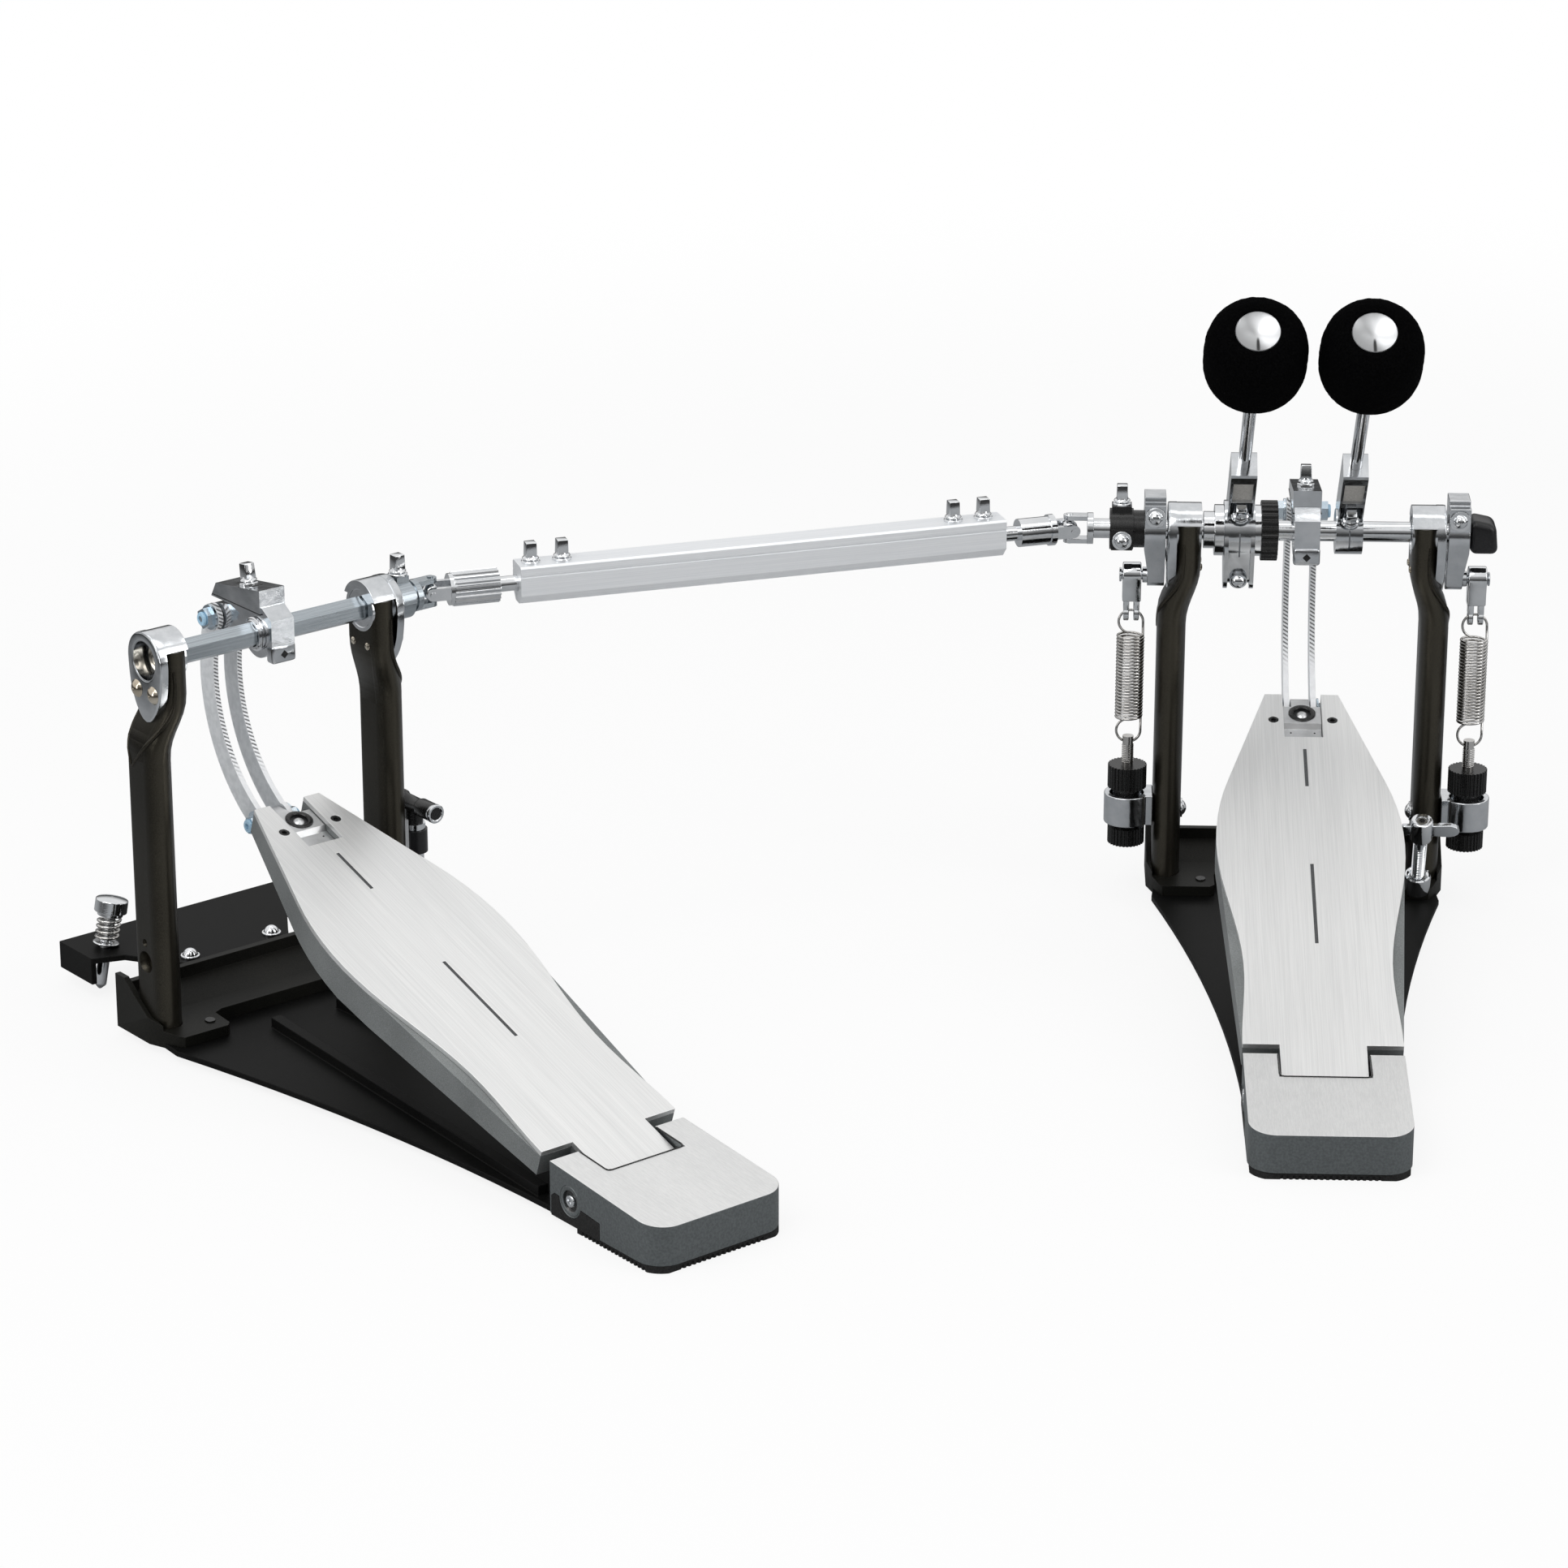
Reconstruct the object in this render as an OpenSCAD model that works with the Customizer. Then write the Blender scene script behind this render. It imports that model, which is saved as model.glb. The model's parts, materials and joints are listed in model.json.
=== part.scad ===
// Double bass drum pedal: a main pedal that carries both beaters, a slave
// pedal for the other foot, and a telescopic shaft that joins the two.
// X runs along the main shaft, Y towards the drum, Z up. The origin lies on
// the floor under the middle of the main shaft. Millimetres.

/* [Shaft and housings] */
// Clear width between the two shaft housings
inner_w = 106; // [104:1:116]
// Width of one housing along the shaft
housing_w = 17; // [16:0.5:20]
// Height of the shaft axis above the floor
shaft_h = 199; // [192:1:206]
// Crown radius of a housing
crown_r = 14; // [13:0.5:15]
// Radius of a shaft journal in its bearing
journal_r = 5; // [4.5:0.1:5.3]
// Outer radius of a shaft bearing
bearing_r = 9.5; // [9:0.1:10]
// Radius of the round main shaft
shaft_r = 5.2; // [5.1:0.1:5.7]
// Width across the flats of the slave's six-sided shaft
hex_af = 11; // [10.6:0.1:11.8]

/* [Uprights and base] */
// Thickness of an upright, side to side
post_t = 14.5; // [13:0.5:15]
// Depth of an upright, front to back
post_d = 25; // [23:0.5:27]
// Sideways step between the top and the foot of an upright
post_step = 5.3; // [5:0.1:8]
// How far the foot of an upright stands ahead of the shaft
post_lead = 4; // [2:0.5:6]
// Height of the rubber under the crossbar
pad_h = 4; // [3:0.5:4]
// Thickness of the base plate
plate_t = 3; // [2:0.25:3.5]
// Height of the crossbar's back rim
rim_h = 27; // [25:0.5:29]

/* [Footboard] */
// Slope of the footboard at rest, in degrees
board_tilt = 18; // [16:0.5:19]
// Distance of the footboard's hinge pin behind the shaft
hinge_y = 288.7; // [284:1:292]
// Height of the hinge pin
hinge_z = 14.5; // [14:0.25:16]
// Half width of the footboard at the toe
toe_half = 18.7; // [17.5:0.1:20]
// Half width of the footboard where it is widest
wide_half = 46.4; // [44:0.2:47]
// Half width of the tread plate at the waist
waist_half = 35.6; // [33:0.2:37]
// Half width of the footboard at the rear
rear_half = 38; // [37.2:0.2:40]
// Thickness of the tread plate
tread_t = 2.5; // [2:0.25:3]
// Wall of the footboard casting
board_wall = 4; // [3:0.5:5]

/* [Drive] */
// Radius of the cam arm that pulls the link
cam_arm = 37; // [36:0.5:38]
// Drop of the cam arm's pivot below the shaft at rest
cam_drop = 1; // [0:0.5:2]
// How far the toe pivot stands ahead of the shaft
toe_pivot_y = 2.5; // [2:0.5:4]
// Height of the toe pivot
toe_pivot_z = 101; // [100:0.5:102]
// Bulge of the curved link plates
link_sag = 20; // [16:1:22]
// Width of a link plate
link_w = 12; // [11:0.5:13]
// Thickness of a link plate
link_t = 2.9; // [2:0.1:3.2]

/* [Beaters] */
// Lean of the beaters at rest, in degrees
beater_lean = 44; // [36:1:48]
// Distance from the shaft axis to the middle of a beater head
beater_reach = 166; // [150:1:180]
// Diameter of a beater head
head_d = 50; // [46:1:51]
// Length of a beater head
head_l = 44; // [40:1:48]
// Radius of a beater rod
rod_r = 3.2; // [2.8:0.1:3.5]
// Position of the right beater along the shaft
right_x = 21.4; // [21:0.2:24]
// Position of the left beater along the shaft
left_x = -34; // [-36:0.2:-33]

/* [Springs] */
// Outer diameter of a return spring
spring_d = 14.4; // [13.6:0.2:15]
// Wire diameter of a return spring
spring_wire = 1.25; // [1.1:0.05:1.25]
// Number of curls in a return spring
spring_curls = 26; // [22:1:26]
// Arm from the shaft to the spring's swing link
spring_arm = 24.5; // [23.5:0.25:26]
// Height of the bracket that holds a tension rod
tension_z = 48.5; // [47:0.5:50]
// Radius of a tension rod
tension_r = 2.85; // [2.5:0.05:3]

/* [Telescopic shaft] */
// Length between the two universal joints
link_len = 334; // [300:1:360]
// Angle of the telescopic shaft to the main shaft
link_yaw = 19.9; // [16:0.1:22]
// Turn of the slave pedal against the main pedal
slave_turn = 41.15; // [38:0.05:43]
// Radius of the sliding rods
slide_r = 3.8; // [3.4:0.1:4.1]
// Height of the outer tube
tube_h = 20; // [18:0.5:22]
// Width of the outer tube
tube_w = 16; // [14:0.5:18]

/* [Hidden] */
$fn = 64;
eps = 0.01;
// Radial gap of every running fit, and the gap left beside a moving face
fit_gap = 0.05;
side_gap = 0.4;
// Gap of a clamped or seated face
seat_gap = 0.02;

// Housing and shaft stations along X
hx = inner_w / 2;
ho = hx + housing_w;
face_t = 4;
top_t = housing_w - face_t;
barrel_r = crown_r - 2.5;
bearing_w = 5;
cap_dz = 5.5;
post_top_x = hx + top_t / 2;
post_x = hx + housing_w / 2 + post_step;
post_out = post_x + post_t / 2;
bar_half = post_out + 2.5;
bend_hi = shaft_h - 17;
bend_lo = bend_hi - 33;
post_foot = pad_h + 4;

// Crossbar and plate
plate_z = pad_h - 0.5;
plate_top = plate_z + plate_t;
bar_front = -20;
bar_mid_front = -3;
bar_back = 29;
heel_front = 273.7;
heel_back = 352;
heel_half = 38;
heel_top = hinge_z + 14.7;
heel_slope = 4.9;

// Footboard frame: s runs up the board from the hinge, w is its normal
board_z0 = hinge_z + 10.1;
toe_s = 292;
slot_s = 257;
wide_s = 172;
line_s = 217;
waist_s = 74;
rear_s = 21.9;
tongue_s = -5.3;
tongue_half = 20.5;
notch_half = 21.7;
pin_r = 4;
knuckle_r = 6;
slot_half = 9.8;
deep_w = 19;

// Drive geometry, in the plane across the shaft
cam_y = cam_arm;
cam_z = shaft_h - cam_drop;
chord = norm([cam_y - toe_pivot_y, cam_z - toe_pivot_z]);
arc_r = (chord * chord / 4 + link_sag * link_sag) / (2 * link_sag);
chord_dir = [cam_y - toe_pivot_y, cam_z - toe_pivot_z] / chord;
arc_c = [(cam_y + toe_pivot_y) / 2 - (arc_r - link_sag) * chord_dir[1],
         (cam_z + toe_pivot_z) / 2 + (arc_r - link_sag) * chord_dir[0]];
cam_angle = atan2(cam_z - arc_c[1], cam_y - arc_c[0]);
toe_angle = atan2(toe_pivot_z - arc_c[1], toe_pivot_y - arc_c[0]);
plate_x = 5.4;
arm_half = plate_x - side_gap - 0.3;
link_bolt_r = 3;
toe_pin_r = 2.5;
toe_hole_r = toe_pin_r + 2.45;
cam_half = 6.5;

// Beater hub, in a frame that leans with the rod
hub_half = 7.3;
hub_arm_half = 6.7;
rod_off = 7;
hub_top = 57;
rod_low = 26;

// Springs
spring_x = ho + 17.5;
spring_cam_in = ho + 1.2;
spring_cam_out = spring_cam_in + 10.8;
swing_half = 4.9;
pivot_z = shaft_h - spring_arm;
hook_r = spring_d / 2 - 1;
coil_r = (spring_d - spring_wire) / 2;
coil_lo = tension_z + 48.5;
coil_hi = pivot_z - 32;
hook_lo_z = coil_lo - hook_r - 0.6;
hook_hi_z = coil_hi + hook_r + 0.6;
ball_r = 8.7;
cup_r = ball_r + 0.3;

// Telescopic shaft
joint_x = ho + 49.7;
slave_joint_x = ho + 25;
joint_main = [-joint_x, 0, shaft_h];
slave_x = -joint_x - link_len * cos(link_yaw) - slave_joint_x * cos(slave_turn);
slave_y = -link_len * sin(link_yaw) - slave_joint_x * sin(slave_turn);
fork_base = 9;
ear_in = 4.8;
ear_out = 7.3;
ball_joint_r = 4.1;
tube_start = 36.8;
tube_end = link_len - 44;
screw_stations = [tube_start + 10, tube_start + 26, tube_end - 23, tube_end - 7];

// Hoop clamp and stabiliser
jaw_half = 28;
jaw_pivot = [36, 24];
jaw_pin_r = 2;
lip_end = 60;
bolt_at = [bar_half - 14, -16, 11];
bolt_lean = 20;
stab_top = 22;
stab_t = 3;
stab_half = 64;
stab_front = 34;
stab_back = 102;
spur_at = [-54, 82];
spur_lean = 12;
key_x = post_out + 10.5;
key_z = 89;

steel = "silver";
black = [0.12, 0.12, 0.12];
olive = [0.27, 0.25, 0.21];
grey = [0.42, 0.44, 0.45];
pale = [0.78, 0.78, 0.78];

// Places a child in the slave pedal's own frame
module slave_side() {
    translate([slave_x, slave_y, 0]) rotate([0, 0, slave_turn]) children();
}

// Places a child along the telescopic shaft, s from the main joint
module along_link(s) {
    translate(joint_main) rotate([0, 0, 180 + link_yaw]) translate([s, 0, 0]) children();
}

// Draws a child on both sides of the pedal
module both() {
    children();
    mirror([1, 0, 0]) children();
}

// Cylinder along X between two stations
module xcyl(r, x0, x1) {
    translate([x0, 0, 0]) rotate([0, 90, 0]) cylinder(r = r, h = x1 - x0);
}

// Extrudes a (y, z) outline along X between two stations
module xslab(x0, x1) {
    translate([x0, 0, 0]) rotate([90, 0, 90]) linear_extrude(x1 - x0) children();
}

// Bar with half-round ends, thickness along X and depth along Y
module stadium(t, d) {
    square([t, d - t], center = true);
    for (s = [-1, 1]) translate([0, s * (d - t) / 2]) circle(d = t);
}

// Straight-sided knurl: n teeth of the given depth
module knurl(r, depth, n) {
    polygon([for (i = [0 : 4 * n - 1])
        let (a = i * 90 / n, q = (i % 4 < 2) ? r : r - depth) [q * cos(a), q * sin(a)]]);
}

// Bar between two round ends of different radius
module taper_bar(p, rp, q, rq) {
    d = q - p;
    a = atan2(d[1], d[0]);
    b = acos((rp - rq) / norm(d));
    translate(p) circle(rp);
    translate(q) circle(rq);
    polygon([for (e = [[p, rp, b], [q, rq, b], [q, rq, -b], [p, rp, -b]])
        e[0] + e[1] * [cos(a + e[2]), sin(a + e[2])]]);
}

// Square-headed key screw, standing on the origin
module key_screw() {
    translate([0, 0, seat_gap]) {
        cylinder(r = 4.7, h = 1.2);
        translate([0, 0, 1.2]) cylinder(r = 3.7, h = 1.6);
        translate([-2.8, -2.8, 2.8]) cube([5.6, 5.6, 7.4]);
    }
}

// Domed head, standing on the origin
module dome(r, h) {
    ball = (r * r + h * h) / (2 * h);
    intersection() {
        translate([0, 0, h - ball]) sphere(ball);
        cylinder(r = r, h = h + 1);
    }
}

// Domed rivet head that faces outwards along X
module side_dome(x, y, z, r, h) {
    translate([x, y, z]) rotate([0, 90, 0]) dome(r, h);
}

// Outline of an upright's bend at t, from its lower to its upper end; the outer
// side bulges a little at the knee
bend_n = 7;
slice_n = 28;
function bend_slice(t) =
    let (e = (1 - cos(180 * t)) / 2,
         bulge = 1.9 * pow(sin(180 * min(1, t * 1.1)), 2) * (1 - t),
         w = (post_t + (top_t - post_t) * e + bulge) / 2 - 0.03,
         d = (post_d + (2 * crown_r - post_d) * e) / 2 - 0.03)
    [for (j = [0 : slice_n - 1]) let (a = (j + 0.5) * 360 / slice_n)
        [post_x + (post_top_x - post_x) * e + bulge / 2 + w * cos(a),
         post_lead * (1 - e) + (a < 180 ? d - w : w - d) + w * sin(a),
         bend_lo + (bend_hi - bend_lo) * t + (t == 0 ? -0.4 : t == 1 ? 0.4 : 0)]];

// Solid skin over rings of n points each, one above the other
module skin(points, n) {
    k = len(points) / n;
    side = [for (i = [0 : k - 2], j = [0 : n - 1]) let (a = n * i + j, b = n * i + (j + 1) % n)
        each [[b, a, b + n], [b + n, a, a + n]]];
    ends = [for (j = [1 : n - 2]) each [[0, j, j + 1], [n * (k - 1), n * (k - 1) + j + 1, n * (k - 1) + j]]];
    polyhedron(points, concat(side, ends));
}

// Upright on the right side: a foot, a sideways bend and a top
module post() {
    difference() {
        union() {
            translate([post_x, post_lead, post_foot])
                linear_extrude(bend_lo - post_foot) stadium(post_t, post_d);
            skin([for (i = [0 : bend_n]) each bend_slice(i / bend_n)], slice_n);
            translate([post_top_x, 0, bend_hi])
                linear_extrude(shaft_h + cap_dz - bend_hi) stadium(top_t, 2 * crown_r);
        }
        translate([0, 0, shaft_h]) xcyl(barrel_r, hx - 1, hx + top_t + 1);
        // seat of the housing's face
        translate([0, 0, shaft_h]) xslab(hx + top_t, ho + 2) face_outline();
        translate([0, post_lead, 45]) xcyl(5.5, post_x + post_t / 2 - 5, post_out + 1);
        translate([0, post_lead, 55]) xcyl(2, post_x + post_t / 2 - 5, post_out + 1);
    }
}

// Outline of a housing's outer face, in (y, z) about the shaft
module face_outline() {
    circle(crown_r);
    polygon([[-crown_r + 0.4, -3.3], [-crown_r + 2, -15], [-3, -29.5], [3, -29.5],
             [crown_r - 2, -15], [crown_r - 0.4, -3.3]]);
}

// Housing on the right side, with its bearing as a second solid
module housing() {
    translate([0, 0, shaft_h]) {
        difference() {
            union() {
                xslab(hx + top_t, ho) face_outline();
                intersection() {
                    xcyl(crown_r, hx, hx + top_t);
                    translate([hx - 1, -crown_r - 1, cap_dz]) cube([top_t + 2, 2 * crown_r + 2, crown_r]);
                }
                xcyl(barrel_r, hx, hx + top_t);
            }
            xcyl(bearing_r, hx - 1, ho + 1);
        }
        difference() {
            xcyl(bearing_r, hx + 0.5, hx + 0.5 + bearing_w);
            xcyl(journal_r + fit_gap, hx - 1, hx + 7);
        }
    }
}

// Slope and rim of the crossbar, in (y, z)
module bar_profile() {
    polygon([[bar_front, pad_h], [bar_front, 12], [8, 14], [bar_back - 4, rim_h - 6],
             [bar_back - 4, rim_h], [bar_back, rim_h], [bar_back, pad_h]]);
}

// Side wing of the crossbar, in (y, z)
module wing_profile() {
    polygon([[bar_front, pad_h], [bar_front, 12], [1, 18], [13, 26], [21, rim_h + 5],
             [bar_back, rim_h + 5], [bar_back, pad_h]]);
}

// Plan of the crossbar
module bar_plan() {
    for (s = [-1, 1]) scale([s, 1])
        polygon([[0, bar_back], [bar_half, bar_back], [bar_half, 0], [bar_half - 6, bar_front + 3],
                 [bar_half - 8, bar_front], [44, bar_front], [41.5, bar_front + 2.5],
                 [41.5, bar_mid_front - 2], [36.5, bar_mid_front], [0, bar_mid_front]]);
}

module crossbar(nose) {
    difference() {
        intersection() {
            union() {
                xslab(-bar_half, bar_half) bar_profile();
                xslab(bar_half - 3, bar_half) wing_profile();
                xslab(-bar_half, -bar_half + 3) wing_profile();
            }
            linear_extrude(rim_h + 10) bar_plan();
        }
        both() translate([post_x, post_lead, post_foot])
            linear_extrude(60) stadium(post_t + 0.2, post_d + 0.2);
        linear_extrude(plate_top) plate_plan(nose);
        translate([-35, 4, pad_h - 1]) cube([70, bar_back - 8, 7]);
    }
}

// Half width of the base plate at a distance behind the shaft
function plate_half(d) = heel_half - 1 + 37 * pow(max(0, 1 - (d + bar_front) / 282), 1.9);

module plate_plan(nose) {
    d = [for (i = [0 : 12]) -bar_front + i * (heel_front + bar_front) / 12];
    t = heel_half - 4;
    polygon(concat([for (q = d) [plate_half(q), -q]], [[t, -heel_front], [t, -heel_back + 14]],
                   [[-t, -heel_back + 14], [-t, -heel_front]],
                   [for (i = [12 : -1 : 0]) [-plate_half(d[i]), -d[i]]],
                   [[-bar_half + 4, -2], [-bar_half + 4, bar_back - 2]],
                   nose > 0 ? [[-nose, bar_back - 2], [-nose, lip_end], [nose, lip_end], [nose, bar_back - 2]]
                            : [],
                   [[bar_half - 4, bar_back - 2], [bar_half - 4, -2]]));
}

// Base plate with its two stiffening ribs; nose is the half width of a front lip
module base_plate(nose) {
    translate([0, 0, plate_z]) linear_extrude(plate_t) plate_plan(nose);
    // raised seat for the hoop
    if (nose > 0) translate([-nose + 1, lip_end - 15, plate_z + 1]) cube([2 * nose - 2, 14, plate_t - 0.2]);
    both() translate([0, 0, plate_top]) linear_extrude(5)
        polygon([[16, -24], [22, -24], [36, -262], [30, -262]]);
}

// Plan of the heel block: square corners at the notch, round ones at the back
module heel_plan() {
    r = 13;
    translate([-heel_half, -heel_back + r]) square([2 * heel_half, heel_back - heel_front - r]);
    translate([-heel_half + r, -heel_back]) square([2 * (heel_half - r), r + 1]);
    for (s = [-1, 1]) translate([s * (heel_half - r), -heel_back + r]) circle(r);
}

module heel_block() {
    difference() {
        translate([0, 0, plate_z]) linear_extrude(heel_top - plate_z + 1) heel_plan();
        linear_extrude(plate_top) plate_plan(0);
        // sloping top
        translate([0, -heel_front, heel_top]) rotate([heel_slope, 0, 0])
            translate([-60, -120, 0]) cube([120, 160, 30]);
        // notch for the footboard's tongue
        translate([-notch_half, -heel_front - 22.3, pad_h - 1]) cube([2 * notch_half, 40, 40]);
        // hinge pin and the bearing seats at its ends
        translate([0, -hinge_y, hinge_z]) {
            xcyl(pin_r, -heel_half - 1, heel_half + 1);
            xcyl(7.3, heel_half - 4, heel_half + 1);
            xcyl(7.3, -heel_half - 1, -heel_half + 4);
        }
        // pockets for the side tabs of the rubber foot
        both() xslab(heel_half - 2, heel_half + 1) tab_outline(0);
    }
}

// Side tab that wraps up from the rubber foot, in (y, z)
module tab_outline(gap) {
    difference() {
        polygon([[-heel_front - 1, pad_h - 1], [-heel_front - 1, hinge_z - 2 - gap],
                 [-heel_front - 3.5, hinge_z - gap], [-hinge_y - 7, hinge_z - 1.5 - gap],
                 [-hinge_y - 22 + gap, 11.5 - gap], [-hinge_y - 22 + gap, pad_h - 1]]);
        translate([-hinge_y, hinge_z]) circle(8 + gap);
    }
}

// Hinge pin with a bearing and a domed end at each side
module hinge_pin() {
    translate([0, -hinge_y, hinge_z]) {
        xcyl(pin_r, -heel_half + 4, heel_half - 4);
        both() {
            difference() {
                xcyl(7.2, heel_half - 4, heel_half - 1.5);
                xcyl(pin_r, heel_half - 5, heel_half);
            }
            xcyl(pin_r, heel_half - 4, heel_half - 1);
            side_dome(heel_half - 1.5, 0, 0, 4.5, 2);
        }
    }
}

// Rubber: serrated heel foot with side tabs, and a strip under the crossbar
module rubber_feet() {
    difference() {
        union() {
            linear_extrude(plate_z) intersection() {
                translate([-heel_half + 1, -heel_back + 1])
                    square([2 * heel_half - 2, heel_back - heel_front - 20]);
                heel_plan();
            }
            both() xslab(heel_half - 2, heel_half) tab_outline(0.15);
        }
        for (i = [0 : 16]) for (s = [-1, 1])
            translate([s * (heel_half - 1), -heel_back + 10 + i * 2.8, -1]) cylinder(r = 0.8, h = 3, $fn = 8);
        for (i = [-8 : 8])
            translate([i * 2.8, -heel_back + 1, -1]) cylinder(r = 0.8, h = 3, $fn = 8);
    }
    translate([-bar_half + 9, bar_front + 6, 0]) cube([2 * bar_half - 18, bar_back - bar_front - 11, plate_z]);
}

// Half width of the tread plate along the board
function wave(a, b, t) = a + (b - a) * (1 - cos(180 * t)) / 2;
line_half = wide_half - 5.9;
function tread_half(s) =
    s > line_s ? line_half + (toe_half - line_half) * (s - line_s) / (toe_s - line_s)
    : s > wide_s ? wide_half - (wide_half - line_half) * pow((s - wide_s) / (line_s - wide_s), 2)
    : s > waist_s ? wave(waist_half, wide_half, (s - waist_s) / (wide_s - waist_s))
    : wave(waist_half, rear_half, (waist_s - s) / (waist_s - rear_s));

// Half width of the casting under it: straight from the widest place to the rear
function cast_half(s) = s > wide_s ? tread_half(s)
    : rear_half + (wide_half - rear_half) * (s - rear_s) / (wide_s - rear_s);

board_stations = concat([rear_s], [for (i = [1 : 27]) rear_s + i * 10], [toe_s]);

// Board outline in (x, s); slim is the amount taken off each side
module tread_outline() {
    n = len(board_stations);
    polygon(concat([for (s = board_stations) [tread_half(s), s]],
                   [for (i = [n - 1 : -1 : 0]) [-tread_half(board_stations[i]), board_stations[i]]]));
}

module cast_outline(slim) {
    n = len(board_stations);
    polygon(concat([for (s = board_stations) [cast_half(s) - slim, s]],
                   [for (i = [n - 1 : -1 : 0]) [-cast_half(board_stations[i]) + slim, board_stations[i]]]));
}

// Places a child in the board's frame: s along Y, w along Z
module on_board() {
    translate([0, -hinge_y, board_z0]) rotate([board_tilt, 0, 0]) children();
}

// Side profile of the casting, in (s, w)
module cast_profile(extra) {
    polygon([[rear_s - extra, 1], [toe_s + extra, 1], [toe_s + extra, -13], [wide_s, -deep_w],
             [wide_s - 24, -deep_w - 0.2], [rear_s - extra, -13.4]]);
}

module footboard() {
    on_board() difference() {
        union() {
            intersection() {
                translate([0, 0, -30]) linear_extrude(30 - tread_t) cast_outline(0);
                xslab(-60, 60) cast_profile(2);
            }
            translate([-tongue_half, tongue_s + 1, -6.4]) cube([2 * tongue_half, 30, 6.4 - tread_t]);
            rotate([-board_tilt, 0, 0]) translate([0, 0, hinge_z - board_z0])
                xcyl(knuckle_r, -tongue_half + 1, tongue_half - 1);
            translate([-tongue_half + 2.5, tongue_s + 3.2, -9.4]) cube([2 * tongue_half - 5, 30, 5]);
        }
        // hollow underside
        intersection() {
            translate([0, 0, -30]) linear_extrude(30 - tread_t - 2.5) cast_outline(board_wall);
            translate([-60, rear_s + 6, -40]) cube([120, slot_s - rear_s - 18, 40]);
        }
        // slot for the toe hinge
        translate([-slot_half, slot_s, -30]) cube([2 * slot_half, 60, 40]);
        // hinge pin
        rotate([-board_tilt, 0, 0]) translate([0, 0, hinge_z - board_z0])
            xcyl(pin_r + fit_gap, -40, 40);
        // tread plate screws
        for (x = [-14.9, 14.9]) translate([x, slot_s + 14, -10]) cylinder(r = 1.6, h = 12);
    }
}

module tread_plate() {
    on_board() difference() {
        translate([0, 0, -tread_t]) linear_extrude(tread_t) union() {
            tread_outline();
            translate([-tongue_half, tongue_s]) square([2 * tongue_half, rear_s - tongue_s + 1]);
        }
        translate([-slot_half, slot_s, -5]) cube([2 * slot_half, 60, 10]);
        for (x = [-14.9, 14.9]) translate([x, slot_s + 14, -1.8]) cylinder(r = 2.6, h = 4);
        for (s = [[96, 60], [217, 30]]) translate([-0.8, s[0], -0.4]) cube([1.6, s[1], 2]);
    }
}

// Place of the toe pivot in the board's frame
toe_ps = (toe_pivot_y + hinge_y) * cos(board_tilt) + (toe_pivot_z - board_z0) * sin(board_tilt);
toe_pw = -(toe_pivot_y + hinge_y) * sin(board_tilt) + (toe_pivot_z - board_z0) * cos(board_tilt);

// Toe hinge: block in the slot, round bearing on top, pivot pin with its nuts
module toe_hinge() {
    on_board() {
        difference() {
            union() {
                xslab(-slot_half + 0.2, slot_half - 0.2)
                    polygon([[slot_s + 0.2, -12], [slot_s + 0.2, -5.5], [slot_s + 13, -5.5],
                             [slot_s + 15, -3], [toe_s - 6.5, -3], [toe_s - 5, -5.5], [toe_s - 5, -12]]);
                xslab(-arm_half, arm_half) taper_bar([toe_s - 14, -8], 3.5, [toe_ps, toe_pw], 6);
            }
            translate([0, slot_s + 23, -4.6]) cylinder(r = 7, h = 4);
            xslab(-20, 20) translate([toe_ps, toe_pw]) circle(toe_pin_r);
        }
        // bearing with its domed screw
        translate([0, slot_s + 23, -4.6]) difference() {
            cylinder(r = 6.9, h = 1.6);
            translate([0, 0, 0.6]) cylinder(r = 4.6, h = 2);
        }
        translate([0, slot_s + 23, -4]) dome(3, 1.4);
        // pivot pin
        translate([0, toe_ps, toe_pw]) {
            xcyl(toe_pin_r, -plate_x - link_t - 5, plate_x + link_t + 5);
            both() {
                translate([plate_x + link_t + side_gap, 0, 0]) rotate([0, 90, 0])
                    difference() {
                        cylinder(r = 6.6, h = 1);
                        translate([0, 0, -1]) cylinder(r = toe_pin_r, h = 3);
                    }
                translate([plate_x + link_t + side_gap + 1, 0, 0]) rotate([0, 90, 0])
                    difference() {
                        cylinder(r = 4.6, h = 3.4, $fn = 6);
                        translate([0, 0, -1]) cylinder(r = toe_pin_r, h = 6);
                    }
            }
        }
    }
}

// Curved link plates on both sides of the cam arm
module link_plates() {
    both() translate([plate_x, 0, 0]) difference() {
        union() {
            translate([0, arc_c[0], arc_c[1]]) rotate([90, 0, 90]) rotate([0, 0, toe_angle])
                rotate_extrude(angle = cam_angle - toe_angle)
                    translate([arc_r - link_w / 2, 0]) square([link_w, link_t]);
            translate([0, cam_y, cam_z]) xcyl(link_w / 2 + 0.6, 0, link_t);
            translate([0, toe_pivot_y, toe_pivot_z]) xcyl(link_w / 2 + 1.4, 0, link_t);
        }
        translate([0, cam_y, cam_z]) xcyl(link_bolt_r + fit_gap, -1, link_t + 1);
        translate([0, toe_pivot_y, toe_pivot_z]) xcyl(toe_hole_r, -1, link_t + 1);
    }
}

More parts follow.
